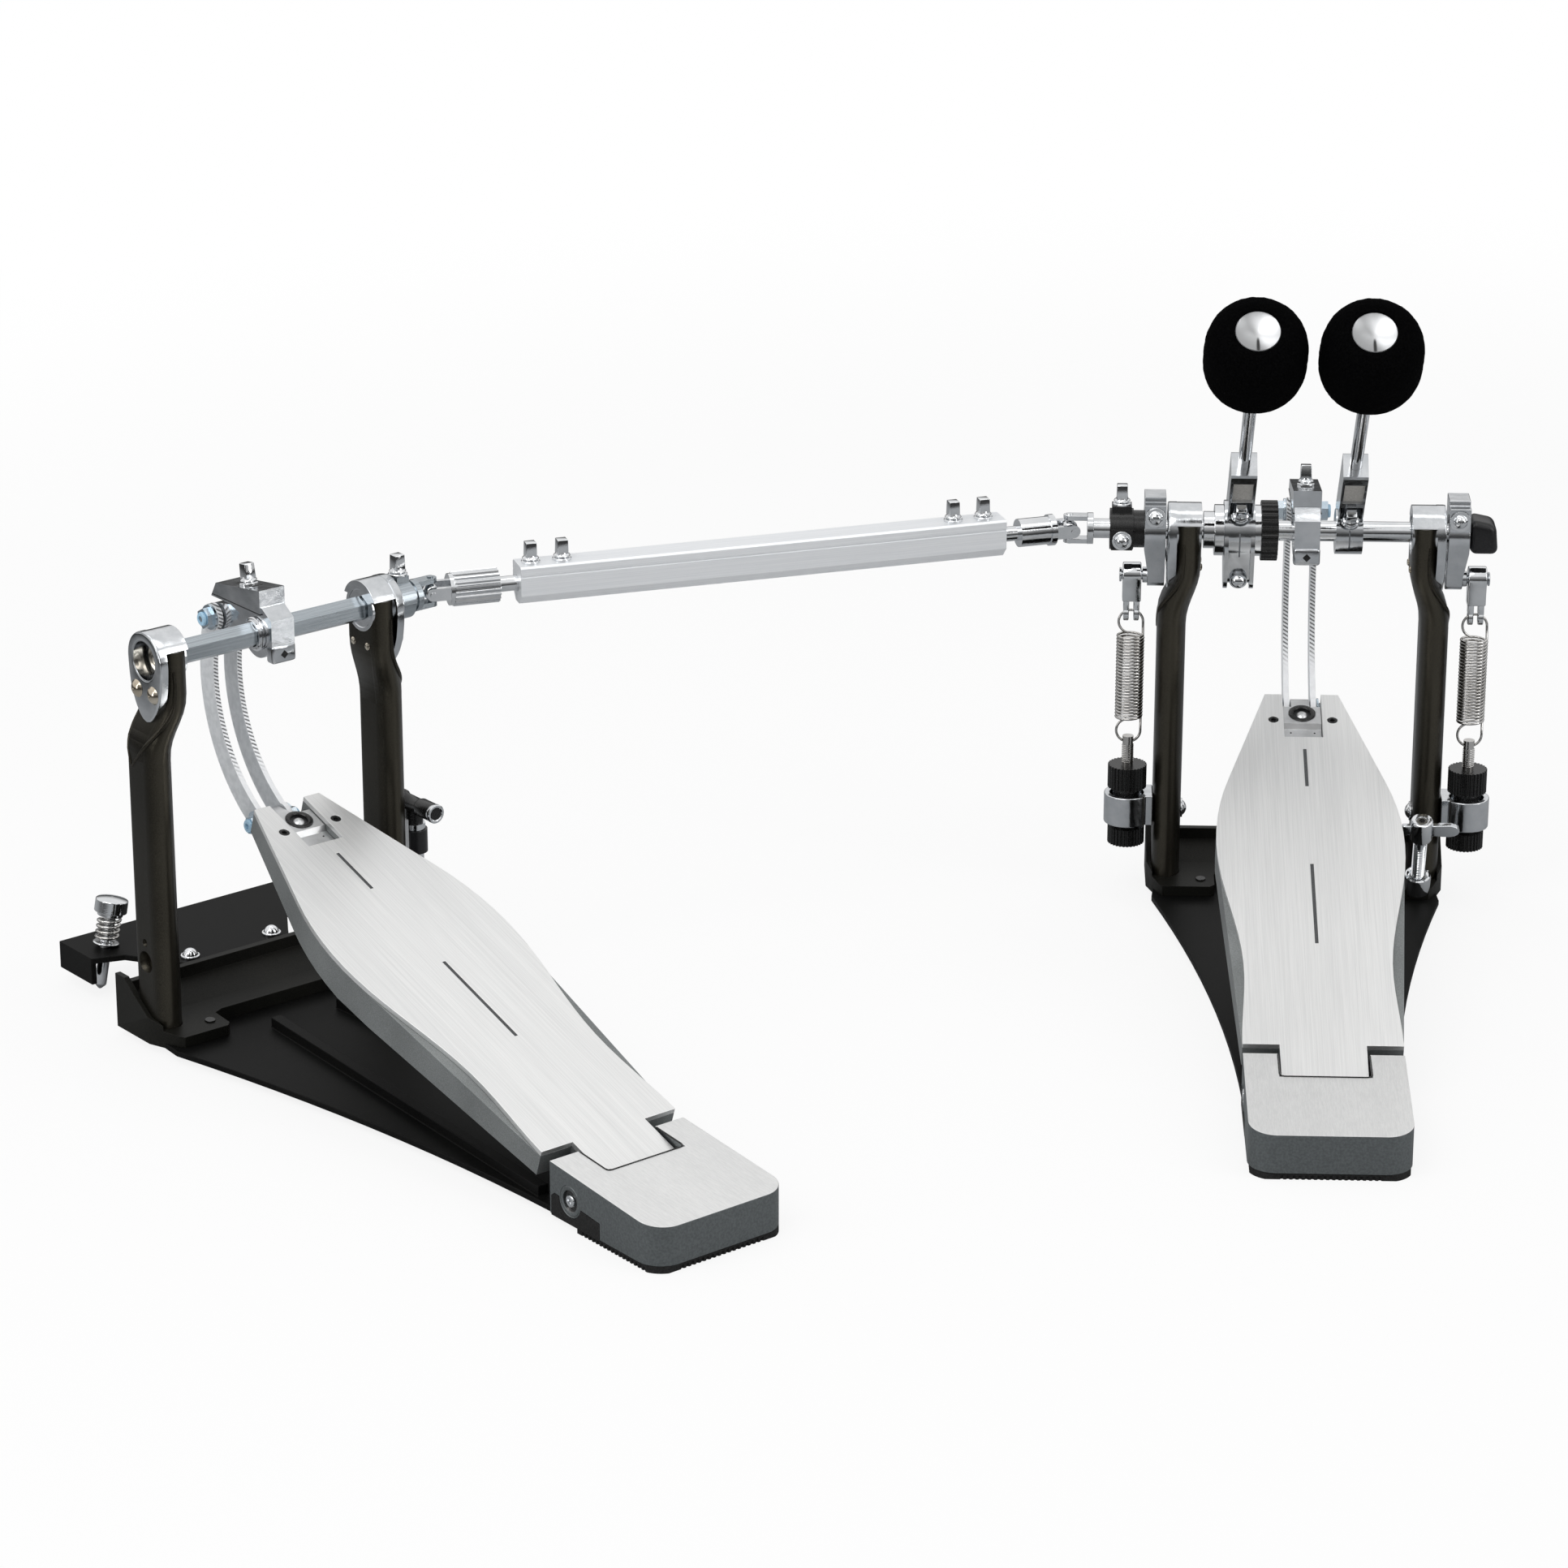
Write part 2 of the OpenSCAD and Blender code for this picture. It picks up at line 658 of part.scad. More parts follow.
// Bolt, washers and lock nuts at the cam end of the link
module cam_bolt() {
    translate([0, cam_y, cam_z]) {
        xcyl(link_bolt_r, -plate_x - link_t - 6, plate_x + link_t + 5);
        both() {
            for (w = [[plate_x - 0.5, 0.3, 5.5], [plate_x + link_t + 0.2, 1.2, 6.2]])
                translate([w[0], 0, 0]) difference() {
                    xcyl(w[2], 0, w[1]);
                    xcyl(link_bolt_r, -1, 3);
                }
            translate([plate_x + link_t + 1.4, 0, 0]) rotate([0, 90, 0]) difference() {
                cylinder(r = 5.2, h = 3.4, $fn = 6);
                translate([0, 0, -1]) cylinder(r = link_bolt_r, h = 6);
            }
        }
    }
}

// Cam: clamp round the shaft, top block, and the arm to the link pivot
module cam(flats) {
    difference() {
        union() {
            translate([0, 0, shaft_h]) {
                xslab(-cam_half, cam_half) {
                    circle(12);
                    polygon([[-13, -8], [-13, 9], [-5, 14], [0, 14], [0, -8]]);
                }
                xslab(-cam_half - 0.7, cam_half + 0.7)
                    polygon([[-4.5, 10], [-4.5, 22.5], [cam_y - 3.4, 17], [cam_y + 1, 9.5], [22, 9.5], [10, 6]]);
                xslab(-arm_half + 0.1, arm_half - 0.1)
                    taper_bar([0, 0], 12, [cam_y, -cam_drop], 6.4);
            }
        }
        translate([0, 0, shaft_h]) {
            if (flats > 0) rotate([0, 90, 0]) cylinder(d = flats / cos(30), h = 40, center = true, $fn = 6);
            else xcyl(shaft_r, -20, 20);
            translate([0, 15.3, 12]) cylinder(r = 2.6, h = 12);
        }
        translate([0, cam_y, cam_z]) xcyl(link_bolt_r, -20, 20);
    }
}

module cam_screw() {
    rise = -5.5 / (cam_y + 1.1);
    translate([0, 15.3, shaft_h + 22.5 + rise * 19.8]) rotate([atan(rise), 0, 0]) key_screw();
}

// Places a child in a beater's leaning frame at a shaft station
module leaning(x) {
    translate([x, 0, shaft_h]) rotate([beater_lean, 0, 0]) children();
}

// Beater hub: ring on the shaft and an arm with the rod's socket; a lobe of
// the given depth hangs below the ring
module beater_hub(x, bore, lobe) {
    half = lobe > 0 ? hub_half + 0.4 : hub_half - 0.5;
    arm = lobe > 0 ? hub_arm_half - 0.2 : hub_arm_half - 0.4;
    difference() {
        union() {
            leaning(x) {
                xcyl(bore + 6.3, -half, half);
                xslab(-arm, arm)
                    polygon([[-1, 5], [-1, hub_top - 1], [0, hub_top], [13, hub_top],
                             [14, hub_top - 1], [14, 2], [6, 2]]);
            }
            if (lobe > 0) translate([x, 0, shaft_h]) {
                xslab(-half + 1, half - 1) taper_bar([0, 0], bore + 5.5, [-4, -lobe], 5.5);
                for (e = [-half + 0.1, half - 2.1])
                    xslab(e, e + 2) taper_bar([-2, -5], bore + 5.8, [-5, -lobe - 0.5], 7.5);
                translate([0, -4, -lobe]) rotate([110, 0, 0]) cylinder(r = 4.4, h = 8);
            }
        }
        leaning(x) {
            xcyl(bore + seat_gap, -30, 30);
            // rod socket
            translate([0, rod_off, rod_low - 9]) cylinder(r = rod_r + fit_gap, h = 60);
            // window in the front face
            translate([-5, -2, 31]) cube([10, 2.4, 19]);
            // pocket of the clamp screw, and the slit under it
            translate([0, -1, bore + 9.9]) cylinder(r = 5.6, h = 11.6);
            translate([-0.4, -bore - 8, 1]) cube([0.8, 8, 14]);
        }
    }
}

// Clamp screw of a beater hub, standing in its pocket
module hub_screw(x, bore) {
    leaning(x) translate([0, -1.9, bore + 9.95]) rotate([6, 0, 0]) key_screw();
}

module beater_rod(x) {
    leaning(x) {
        translate([0, rod_off, rod_low]) cylinder(r = rod_r, h = beater_reach + head_l / 2 - rod_low - 2);
        // dished end cap
        translate([0, rod_off, beater_reach + head_l / 2 - 3]) rotate_extrude()
            polygon([[0, 0], [10.8, 0], [11, 1.6], [10.2, 2], [rod_r, 0.9], [0, 0.9]]);
    }
}

// Felt head with rounded edges
module beater_head(x) {
    r = head_d / 2;
    e = 13;
    leaning(x) translate([0, rod_off, beater_reach - head_l / 2]) rotate_extrude() difference() {
        union() {
            square([r - e, head_l]);
            translate([0, e]) square([r, head_l - 2 * e]);
            for (z = [e, head_l - e]) translate([r - e, z]) circle(e);
        }
        translate([-2, -1]) square([rod_r + 2, head_l + 2]);
        translate([-1, head_l - 3]) square([12, 5]);
    }
}

// Lever that carries a return spring, on the right side
module spring_cam() {
    translate([0, 0, shaft_h]) {
        difference() {
            intersection() {
                xslab(spring_cam_in, spring_cam_out) {
                    taper_bar([0, 0], 12.5, [0, -spring_arm], 5.5);
                    translate([-7, 0]) square([14, 19]);
                    translate([-13, 4]) square([13, 12.4]);
                }
                // the lever's outer side tapers downwards
                rotate([90, 0, 0]) linear_extrude(40, center = true)
                    polygon([[spring_cam_in - 1, -40], [spring_cam_out - 2.2, -40], [spring_cam_out - 2.2, -22],
                             [spring_cam_out, -8], [spring_cam_out, 30], [spring_cam_in - 1, 30]]);
            }
            xcyl(journal_r, spring_cam_in - 1, spring_cam_out + 1);
            translate([0, 0, -spring_arm]) xcyl(2.5, spring_cam_in - 1, spring_cam_out + 1);
        }
        // pin of the swing link
        translate([0, 0, -spring_arm]) {
            xcyl(2.5, spring_cam_in + 1, spring_x + swing_half + 1.5);
            difference() {
                xcyl(4, spring_cam_out - 2.3, spring_x - swing_half - side_gap);
                xcyl(2.5, 0, 200);
            }
            difference() {
                xcyl(3.6, spring_x + swing_half + side_gap, spring_x + swing_half + 1.5);
                xcyl(2.5, 0, 200);
            }
        }
    }
}

module spring_cam_bolt() {
    translate([(spring_cam_in + spring_cam_out) / 2, -13 - seat_gap, shaft_h + 10.2]) rotate([90, 0, 0]) {
        cylinder(r = 5.2, h = 1.2);
        translate([0, 0, 1.2]) dome(3.6, 2.6);
    }
}

// Forked link between a lever's pin and the spring
module swing_link() {
    translate([spring_x, 0, pivot_z]) difference() {
        union() {
            xcyl(5.4, -swing_half, swing_half);
            for (s = [-1, 1]) translate([s * 3.1 - 0.9, -4, -25]) cube([1.8, 8, 25]);
            translate([-4, -4, -9]) cube([8, 8, 7]);
        }
        xcyl(2.5 + fit_gap, -10, 10);
        translate([0, 0, hook_hi_z + hook_r - pivot_z - 0.8]) xcyl(2.3, -10, 10);
    }
}

// Threaded rod, its two knurled nuts and their cupped necks
module tension_rod() {
    translate([spring_x, 0, tension_z]) {
        difference() {
            union() {
                translate([0, 0, -20.5]) cylinder(r = tension_r, h = hook_lo_z - tension_z + 17.6);
            }
            translate([0, 0, hook_lo_z - hook_r - tension_z + 0.35]) xcyl(1.6, -5, 5);
        }
        difference() {
            union() {
                translate([0, 0, 11]) linear_extrude(12.3) knurl(10, 0.7, 30);
                translate([0, 0, 5]) cylinder(r = 6.5, h = 6);
                translate([0, 0, -19.5]) linear_extrude(9) knurl(9.5, 0.7, 30);
                translate([0, 0, -10.5]) cylinder(r = 6.5, h = 5.5);
            }
            sphere(cup_r);
            translate([0, 0, -30]) cylinder(r = tension_r, h = 60);
        }
    }
}

// Ring bracket on an upright, with the ball that the tension rod tilts in
module spring_bracket() {
    translate([spring_x, 0, tension_z]) {
        difference() {
            union() {
                translate([0, 0, -8]) cylinder(r = 11.7, h = 16);
                translate([post_out - spring_x, -7, -8]) cube([6, 14 + post_lead, 16]);
            }
            translate([0, 0, -9]) cylinder(r = ball_r + 0.02, h = 18);
        }
        difference() {
            sphere(ball_r);
            translate([0, 0, -10]) cylinder(r = 4.5, h = 20);
            translate([-10, -10, 8.6]) cube([20, 20, 5]);
            translate([-10, -10, -13.6]) cube([20, 20, 5]);
        }
    }
}

// Points of a return spring: hook, coil, hook
hook_steps = 12;
function low_hook() = [for (i = [0 : hook_steps])
    let (a = 100 + 260 * i / hook_steps) [hook_r * cos(a), 0, hook_lo_z + hook_r * sin(a)]];
function coil_points() = [for (i = [1 : spring_curls * 8 - 1])
    let (t = i / (spring_curls * 8), a = 360 * spring_curls * t)
    [coil_r * cos(a), coil_r * sin(a), coil_lo + (coil_hi - coil_lo) * t]];
function high_hook() = [for (i = [0 : hook_steps])
    let (a = 260 * i / hook_steps) [hook_r * cos(a), 0, hook_hi_z + hook_r * sin(a)]];
spring_path = concat(low_hook(), coil_points(), high_hook());

// Points of the short spring under the spur's knob
spur_curls = 4;
spur_coil_r = 5.4;
spur_wire = 1.5;
spur_gap = 13.5;
function spur_points() = [for (i = [0 : spur_curls * 8])
    let (t = i / (spur_curls * 8), a = 360 * spur_curls * t)
    [spur_coil_r * cos(a), spur_coil_r * sin(a), (spur_gap - spur_wire - 0.6) * t + spur_wire / 2 + 0.3]];

// Round tube of six sides along a list of points
function unit(v) = v / norm(v);
function tangent(p, i) = unit(p[min(i + 1, len(p) - 1)] - p[max(i - 1, 0)]);
function carry(t, n) = unit(n - (n * t) * t);
function frames(p, i = 0, n = [0, 1, 0], acc = []) = i == len(p) ? acc
    : let (t = tangent(p, i), m = carry(t, n)) frames(p, i + 1, m, concat(acc, [[t, m]]));
module tube(p, r) {
    f = frames(p);
    k = len(p);
    ring = [for (i = [0 : k - 1]) let (b = cross(f[i][0], f[i][1]))
        for (j = [0 : 5]) p[i] + r * (cos(60 * j) * f[i][1] + sin(60 * j) * b)];
    skin(ring, 6);
}

// Least distance between points of a path that are over half a curl apart
function self_gap(p, wire) = min([for (i = [0 : 6 : len(p) - 1]) for (j = [i + 5 : min(i + 12, len(p) - 1)])
    norm(p[i] - p[j])]) - wire;
echo(return_spring_gap = self_gap(coil_points(), spring_wire));
echo(spur_spring_gap = self_gap(spur_points(), spur_wire));

// Fork of a universal joint: joint centre at the origin, shank along +Z
module fork() {
    for (s = [-1, 1]) {
        translate([s > 0 ? ear_in : -ear_out, 0, 0]) {
            rotate([0, 90, 0]) cylinder(r = 3.2, h = ear_out - ear_in);
            translate([0, -3.2, 0]) cube([ear_out - ear_in, 6.4, fork_base + 0.5]);
        }
        translate([s > 0 ? ball_joint_r + 0.3 : -ear_out - 0.6, 0, 0]) rotate([0, 90, 0])
            cylinder(r = 1.6, h = ear_out + 0.3 - ball_joint_r);
    }
    translate([0, 0, fork_base]) cylinder(r = 8, h = 3);
}

// Colours and places of the sub-parts
module main_base_plate() color(black) base_plate(jaw_half);
module slave_base_plate() color(black) slave_side() base_plate(0);
module main_crossbar() color(olive) {
    difference() {
        union() {
            crossbar(jaw_half);
            both() translate([jaw_half + 1, bar_back - 1, jaw_pivot[1] - 6]) cube([3.4, jaw_pivot[0] - bar_back + 5, 10]);
        }
        translate([0, jaw_pivot[0], jaw_pivot[1]]) xcyl(jaw_pin_r + fit_gap, -50, 50);
        translate(bolt_at) rotate([bolt_lean, 0, 0]) translate([0, 0, -8]) cylinder(r = 3.3, h = 30);
    }
}
module slave_crossbar() color(olive) slave_side() crossbar(0);
module main_posts() color(olive) both() post();
module slave_posts() color(olive) slave_side() both() post();
module main_housings() color(steel) both() housing();
module slave_housings() color(steel) slave_side() both() housing();
module main_heel_block() color(pale) heel_block();
module slave_heel_block() color(pale) slave_side() heel_block();
module main_hinge_pin() color(steel) hinge_pin();
module slave_hinge_pin() color(steel) slave_side() hinge_pin();
module main_rubber_feet() color(black) rubber_feet();
module slave_rubber_feet() color(black) slave_side() rubber_feet();
module main_footboard() color(grey) footboard();
module slave_footboard() color(grey) slave_side() footboard();
module main_tread_plate() color(pale) tread_plate();
module slave_tread_plate() color(pale) slave_side() tread_plate();
module main_toe_hinge() color(steel) toe_hinge();
module slave_toe_hinge() color(steel) slave_side() toe_hinge();
module main_link_plates() color(steel) link_plates();
module slave_link_plates() color(steel) slave_side() link_plates();
module main_cam() color(steel) cam(0);

// Slave cam with its own screw and link bolt
module slave_cam() color(steel) slave_side() {
    cam(hex_af);
    cam_screw();
    cam_bolt();
}

module spring_brackets() color(steel) both() spring_bracket();

// Heads of the fixed screws on a pedal's frame
module frame_screws(rivet_h) {
    both() {
        for (y = [-7, 7]) side_dome(ho + seat_gap, y, shaft_h - 15.5, 4.6, rivet_h);
        translate([bar_half - 28, -11, 12 + 9 / 14 + seat_gap]) rotate([atan(1 / 14), 0, 0])
            cylinder(r = 2.6, h = 0.7);
    }
}
module main_screws() color(steel) {
    frame_screws(0.8);
    both() translate([post_x - post_t / 2, post_lead, tension_z - 2]) rotate([0, -90, 0]) {
        cylinder(r = 5, h = 1);
        translate([0, 0, 1]) dome(4, 2.2);
    }
    // cup under the clamp bolt
    translate(bolt_at) rotate([bolt_lean, 0, 0]) difference() {
        translate([0, 0, 2.6]) cylinder(r = 6, h = 6);
        cylinder(r = 3.3, h = 10);
    }
}
module slave_screws() color(steel) slave_side() {
    frame_screws(2.4);
    for (x = [-24, 24]) translate([x, 44, stab_top]) {
        cylinder(r = 4.8, h = 1.2);
        translate([0, 0, 1.2]) dome(3.9, 3.4);
    }
}

// Upper jaw that presses the drum's hoop on the base plate's lip
module hoop_jaw() color(black) {
    xslab(-jaw_half, jaw_half) difference() {
        union() {
            taper_bar(jaw_pivot, 4, [jaw_pivot[0] + 12, jaw_pivot[1] - 1], 2.5);
            polygon([[jaw_pivot[0] + 8, jaw_pivot[1] - 3.2], [lip_end - 3, jaw_pivot[1] - 5],
                     [lip_end - 1, jaw_pivot[1] - 2.5], [jaw_pivot[0] + 12, jaw_pivot[1] + 1.4]]);
        }
    }
    translate([0, jaw_pivot[0], jaw_pivot[1]]) xcyl(jaw_pin_r, -jaw_half - 4.6, jaw_half + 4.6);
}

// Wing bolt that works the jaw
module hoop_bolt() color(steel) translate(bolt_at) rotate([bolt_lean, 0, 0]) {
    translate([0, 0, -3]) cylinder(r = 3, h = 40);
    translate([0, 0, 35]) cylinder(r = 5, h = 12);
    translate([-5, -2.2, 37]) cube([18, 4.4, 7]);
    translate([13, 0, 37]) cylinder(r = 3.5, h = 7);
    translate([-7, -1.6, 38]) cube([4, 3.2, 5]);
}

// Right half of the main shaft, down to the pilot inside the left axle
module main_shaft() color(steel) translate([0, 0, shaft_h]) {
    xcyl(journal_r, left_x + 2, left_x + 20.5);
    xcyl(shaft_r, left_x + 20, hx - 0.3);
    xcyl(journal_r, hx - 1, spring_cam_out + 1);
}
module right_beater_hub() color(steel) beater_hub(right_x, shaft_r, 0);
module right_beater_rod() color(steel) beater_rod(right_x);
module left_beater_rod() color(steel) beater_rod(left_x);
module right_beater_head() color(black) beater_head(right_x);
module left_beater_head() color(black) beater_head(left_x);
module right_spring_cam() color(steel) spring_cam();
module left_spring_cam() color(steel) mirror([1, 0, 0]) spring_cam();

// Black cap over the right end of the shaft
module shaft_end_cap() color(black) translate([0, 0, shaft_h]) {
    difference() {
        union() {
            xcyl(9.4, spring_cam_out + 0.3, spring_cam_out + 7);
            translate([spring_cam_out + 7, 0, 0]) rotate([0, 90, 0]) rotate_extrude() intersection() {
                union() {
                    translate([2.4, 0]) circle(7);
                    translate([0, -7]) square([2.4, 14]);
                }
                square([9.4, 7]);
            }
        }
        xcyl(journal_r, spring_cam_out - 1, spring_cam_out + 1);
    }
}
module right_clamp_screws() color(steel) {
    cam_screw();
    cam_bolt();
    hub_screw(right_x, shaft_r);
    spring_cam_bolt();
}

// Left axle: pilot bore, seat of the left hub, journal, and the joint's fork
sleeve_r = 9;
module left_axle() color(steel) {
    translate([0, 0, shaft_h]) difference() {
        union() {
            xcyl(9.4, -hx + 1, left_x - 12.5);
            xcyl(13, left_x - 12.5, left_x - hub_half - 0.45);
            xcyl(sleeve_r, left_x - hub_half - 1, left_x + 10);
            xcyl(13, left_x + hub_half + 0.45, left_x + 11);
            xcyl(journal_r, -joint_x + fork_base + 1, -hx + 2);
        }
        xcyl(journal_r + fit_gap, left_x + 1, left_x + 30);
    }
    translate(joint_main) rotate([0, 90, 0]) fork();
}
module left_beater_hub() color(steel) beater_hub(left_x, sleeve_r, 21);
module left_lock_ring() color(black) translate([left_x + 11, 0, shaft_h]) rotate([0, 90, 0]) difference() {
    linear_extrude(8.4) knurl(15.4, 0.9, 26);
    translate([0, 0, -1]) cylinder(r = shaft_r + 0.7, h = 12);
}

// Spacer and black clamp collar outside the left spring lever
collar_in = spring_cam_out + 5.4;
collar_out = collar_in + 12;
module left_collar() color(black) translate([0, 0, shaft_h]) difference() {
    union() {
        xcyl(9.5, -collar_in, -spring_cam_out);
        xcyl(10.5, -collar_out, -collar_in);
        translate([-collar_out + 1, -4.5, 0]) cube([collar_out - collar_in - 2, 9, 13]);
        translate([-collar_out + 0.6, -11.4, -8]) cube([collar_out - collar_in - 1.2, 11, 10.6]);
    }
    xcyl(journal_r, -collar_out - 1, -spring_cam_out + 1);
}
module left_clamp_screws() color(steel) {
    hub_screw(left_x, sleeve_r);
    mirror([1, 0, 0]) spring_cam_bolt();
    translate([-(collar_in + collar_out) / 2, 0, shaft_h + 13]) key_screw();
    translate([-(collar_in + collar_out) / 2, -11.4 - seat_gap, shaft_h - 2.7]) rotate([90, 0, 0]) {
        cylinder(r = 5, h = 1.2);
        translate([0, 0, 1.2]) dome(3.6, 3);
    }
    translate([left_x, -4, shaft_h - 21]) rotate([110, 0, 0]) translate([0, 0, 8 + seat_gap]) dome(4, 3);
}
module right_swing_link() color(steel) swing_link();
module left_swing_link() color(steel) mirror([1, 0, 0]) swing_link();
module right_spring() color(steel) translate([spring_x, 0, 0]) tube(spring_path, spring_wire / 2);
module left_spring() color(steel) translate([-spring_x, 0, 0]) tube(spring_path, spring_wire / 2);
module right_tension_rod() color(black) tension_rod();
module left_tension_rod() color(black) mirror([1, 0, 0]) tension_rod();

// Outer tube of the telescopic shaft
module link_tube() color(pale) along_link(0) difference() {
    xslab(tube_start, tube_end)
        polygon([[-tube_w / 2, -tube_h / 2 + 5], [-tube_w / 2, tube_h / 2 - 1], [-tube_w / 2 + 1, tube_h / 2],
                 [tube_w / 2 - 1, tube_h / 2], [tube_w / 2, tube_h / 2 - 1], [tube_w / 2, -tube_h / 2 + 5],
                 [tube_w / 2 - 5, -tube_h / 2], [-tube_w / 2 + 5, -tube_h / 2]]);
    xcyl(slide_r + fit_gap, tube_start - 1, tube_end + 1);
    for (s = [-1, 1]) translate([tube_start - 1, s * tube_w / 2 - 0.4, tube_h / 2 - 5.5])
        cube([tube_end - tube_start + 2, 0.8, 0.9]);
}
module tube_screws() color(steel) for (s = screw_stations)
    along_link(s) translate([0, 0, tube_h / 2]) key_screw();

// Main-side fork with its coupling sleeve, sliding rod and centre ball
module main_link_fork() color(steel) along_link(0) {
    rotate([0, 90, 0]) rotate([0, 0, 90]) fork();
    xcyl(7.2, fork_base + 2, 28);
    xcyl(slide_r, 27, tube_start + 60);
    sphere(ball_joint_r);
}

// Slave-side fork with its fluted sleeve, sliding rod and centre ball
module slave_link_fork() color(steel) along_link(link_len) {
    rotate([0, -90, 0]) rotate([0, 0, 90]) fork();
    difference() {
        translate([-34, 0, 0]) rotate([0, 90, 0]) linear_extrude(23) knurl(8.6, 0.8, 20);
        translate([0, 0, 0]) xcyl(slide_r, -40, -20);
    }
    xcyl(slide_r, -130, -20);
    sphere(ball_joint_r);
}

// Six-sided shaft of the slave pedal, with its end bolt, collar and fork
module slave_shaft() color(steel) slave_side() translate([0, 0, shaft_h]) {
    rotate([0, 90, 0]) cylinder(d = hex_af / cos(30), h = inner_w - 0.6, center = true, $fn = 6);
    xcyl(journal_r, -hx - bearing_w - 2, ho + 4);
    xcyl(7, -hx - bearing_w - 5, -hx - bearing_w - 2);
    mirror([1, 0, 0]) side_dome(hx + bearing_w + 5, 0, 0, 5, 2);
    difference() {
        union() {
            xcyl(10, ho + 2, ho + 10);
            translate([ho + 2.5, -4.5, 0]) cube([7, 9, 12.5]);
        }
        xcyl(journal_r, ho, ho + 5);
    }
    xcyl(7.2, ho + 3, slave_joint_x - fork_base - 1);
    translate([ho + 6, 0, 12.5]) key_screw();
    translate([slave_joint_x, 0, 0]) rotate([0, -90, 0]) fork();
}

// Stabiliser plate ahead of the slave's crossbar, with its end lip and tabs
module stabiliser_plate() color(black) slave_side() {
    difference() {
        union() {
            translate([0, 0, stab_top - stab_t]) linear_extrude(stab_t)
                polygon([[-stab_half, stab_back], [-stab_half, 72], [-stab_half + 16, 66],
                         [-stab_half + 30, stab_front + 10], [-stab_half + 36, stab_front],
                         [stab_half - 36, stab_front], [stab_half - 30, stab_front + 10],
                         [stab_half - 16, 66], [stab_half, 72], [stab_half, stab_back]]);
            for (s = [-1, 1]) translate([s * stab_half - (s > 0 ? 3 : 0), 72, stab_top - 14])
                cube([3, stab_back - 72, 13]);
            // tabs that reach back to the crossbar
            for (x = [-24, 24]) translate([x - 7, bar_back, stab_top - stab_t]) cube([14, stab_front - bar_back + 2, stab_t]);
        }
        translate([spur_at[0], spur_at[1], 0]) rotate([0, spur_lean, 0]) translate([0, 0, 5]) cylinder(r = 3.2, h = 40);
    }
}

// Places a child on the spur's axis, at the plate's upper face
module on_spur() {
    slave_side() translate([spur_at[0], spur_at[1], 0]) rotate([0, spur_lean, 0])
        translate([0, 0, stab_top / cos(spur_lean) + 1.4]) children();
}
module spur_bolt() color(steel) on_spur() {
    translate([0, 0, -21]) cylinder(r = 3, h = 35.5);
    translate([0, 0, -23.4]) cylinder(r1 = 0.6, r2 = 3, h = 2.4);
    difference() {
        cylinder(r = 6.6, h = 1);
        translate([0, 0, -1]) cylinder(r = 3, h = 3);
    }
    translate([0, 0, spur_gap + 1]) cylinder(r = 6.4, h = 2);
    translate([0, 0, spur_gap + 3]) cylinder(r = 8.2, h = 6.5);
    translate([0, 0, spur_gap + 9.5]) dome(8.2, 1.2);
}
module spur_spring() color(steel) on_spur() translate([0, 0, 1]) tube(spur_points(), spur_wire / 2);

// Clip on the right upright, and the key that hangs in it
module key_holder() color(steel) slave_side() difference() {
    union() {
        translate([post_out, post_lead - 6, 62]) cube([3, 12, 22]);
        translate([post_out + 2, post_lead - 4, 66]) cube([5, 8, 10]);
        translate([key_x, post_lead, 64]) cylinder(r = 6.6, h = 12);
    }
    translate([key_x, post_lead, 60]) cylinder(r = 4.65, h = 30);
}
module drum_key() color(black) slave_side() {
    translate([key_x, post_lead, 0]) {
        translate([0, 0, 58]) difference() {
            cylinder(r = 4.6, h = key_z - 60);
            rotate([0, 0, -slave_turn]) translate([-2.9, -2.9, -1]) cube([5.8, 5.8, 10]);
        }
        translate([0, 0, 76.3]) cylinder(r = 5.6, h = 3);
        translate([0, 19, key_z]) rotate([90, 0, 0]) rotate_extrude()
            polygon([[0, 0], [4.2, 0], [4.7, 0.5], [4.7, 10], [3.8, 12], [3.8, 24], [4.7, 26], [4.7, 37.5],
                     [4.2, 38], [0, 38]]);
    }
}

main_base_plate();
main_crossbar();
main_posts();
main_housings();
main_heel_block();
main_hinge_pin();
main_rubber_feet();
spring_brackets();
main_screws();
hoop_jaw();
hoop_bolt();
main_shaft();
main_cam();
right_beater_hub();
right_beater_rod();
right_beater_head();
right_spring_cam();
shaft_end_cap();
right_clamp_screws();
left_axle();
left_beater_hub();
left_beater_rod();
left_beater_head();
left_lock_ring();
left_spring_cam();
left_collar();
left_clamp_screws();
main_link_plates();
main_toe_hinge();
main_footboard();
main_tread_plate();
right_swing_link();
left_swing_link();
right_spring();
left_spring();
right_tension_rod();
left_tension_rod();
link_tube();
tube_screws();
main_link_fork();
slave_link_fork();
slave_base_plate();
slave_crossbar();
slave_posts();
slave_housings();
slave_heel_block();
slave_hinge_pin();
slave_rubber_feet();
slave_screws();
stabiliser_plate();
spur_bolt();
spur_spring();
key_holder();
drum_key();
slave_shaft();
slave_cam();
slave_link_plates();
slave_toe_hinge();
slave_footboard();
slave_tread_plate();
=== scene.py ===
# %% [markdown]
# # A double bass drum pedal
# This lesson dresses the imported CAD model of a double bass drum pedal. The CAD
# part holds every piece with its real size and place, so this script only
# adds what a machinist's drawing leaves out: softened edges, brushed grain,
# plating, felt, wound springs, light and a camera. Everything is in metres,
# in the frame of the CAD part: X along the main shaft, Y towards the drum, Z up.

# %% Load the frame
import json
import math
import bmesh
import bpy
from mathutils import Matrix, Vector, noise as grain
from mathutils.bvhtree import BVHTree


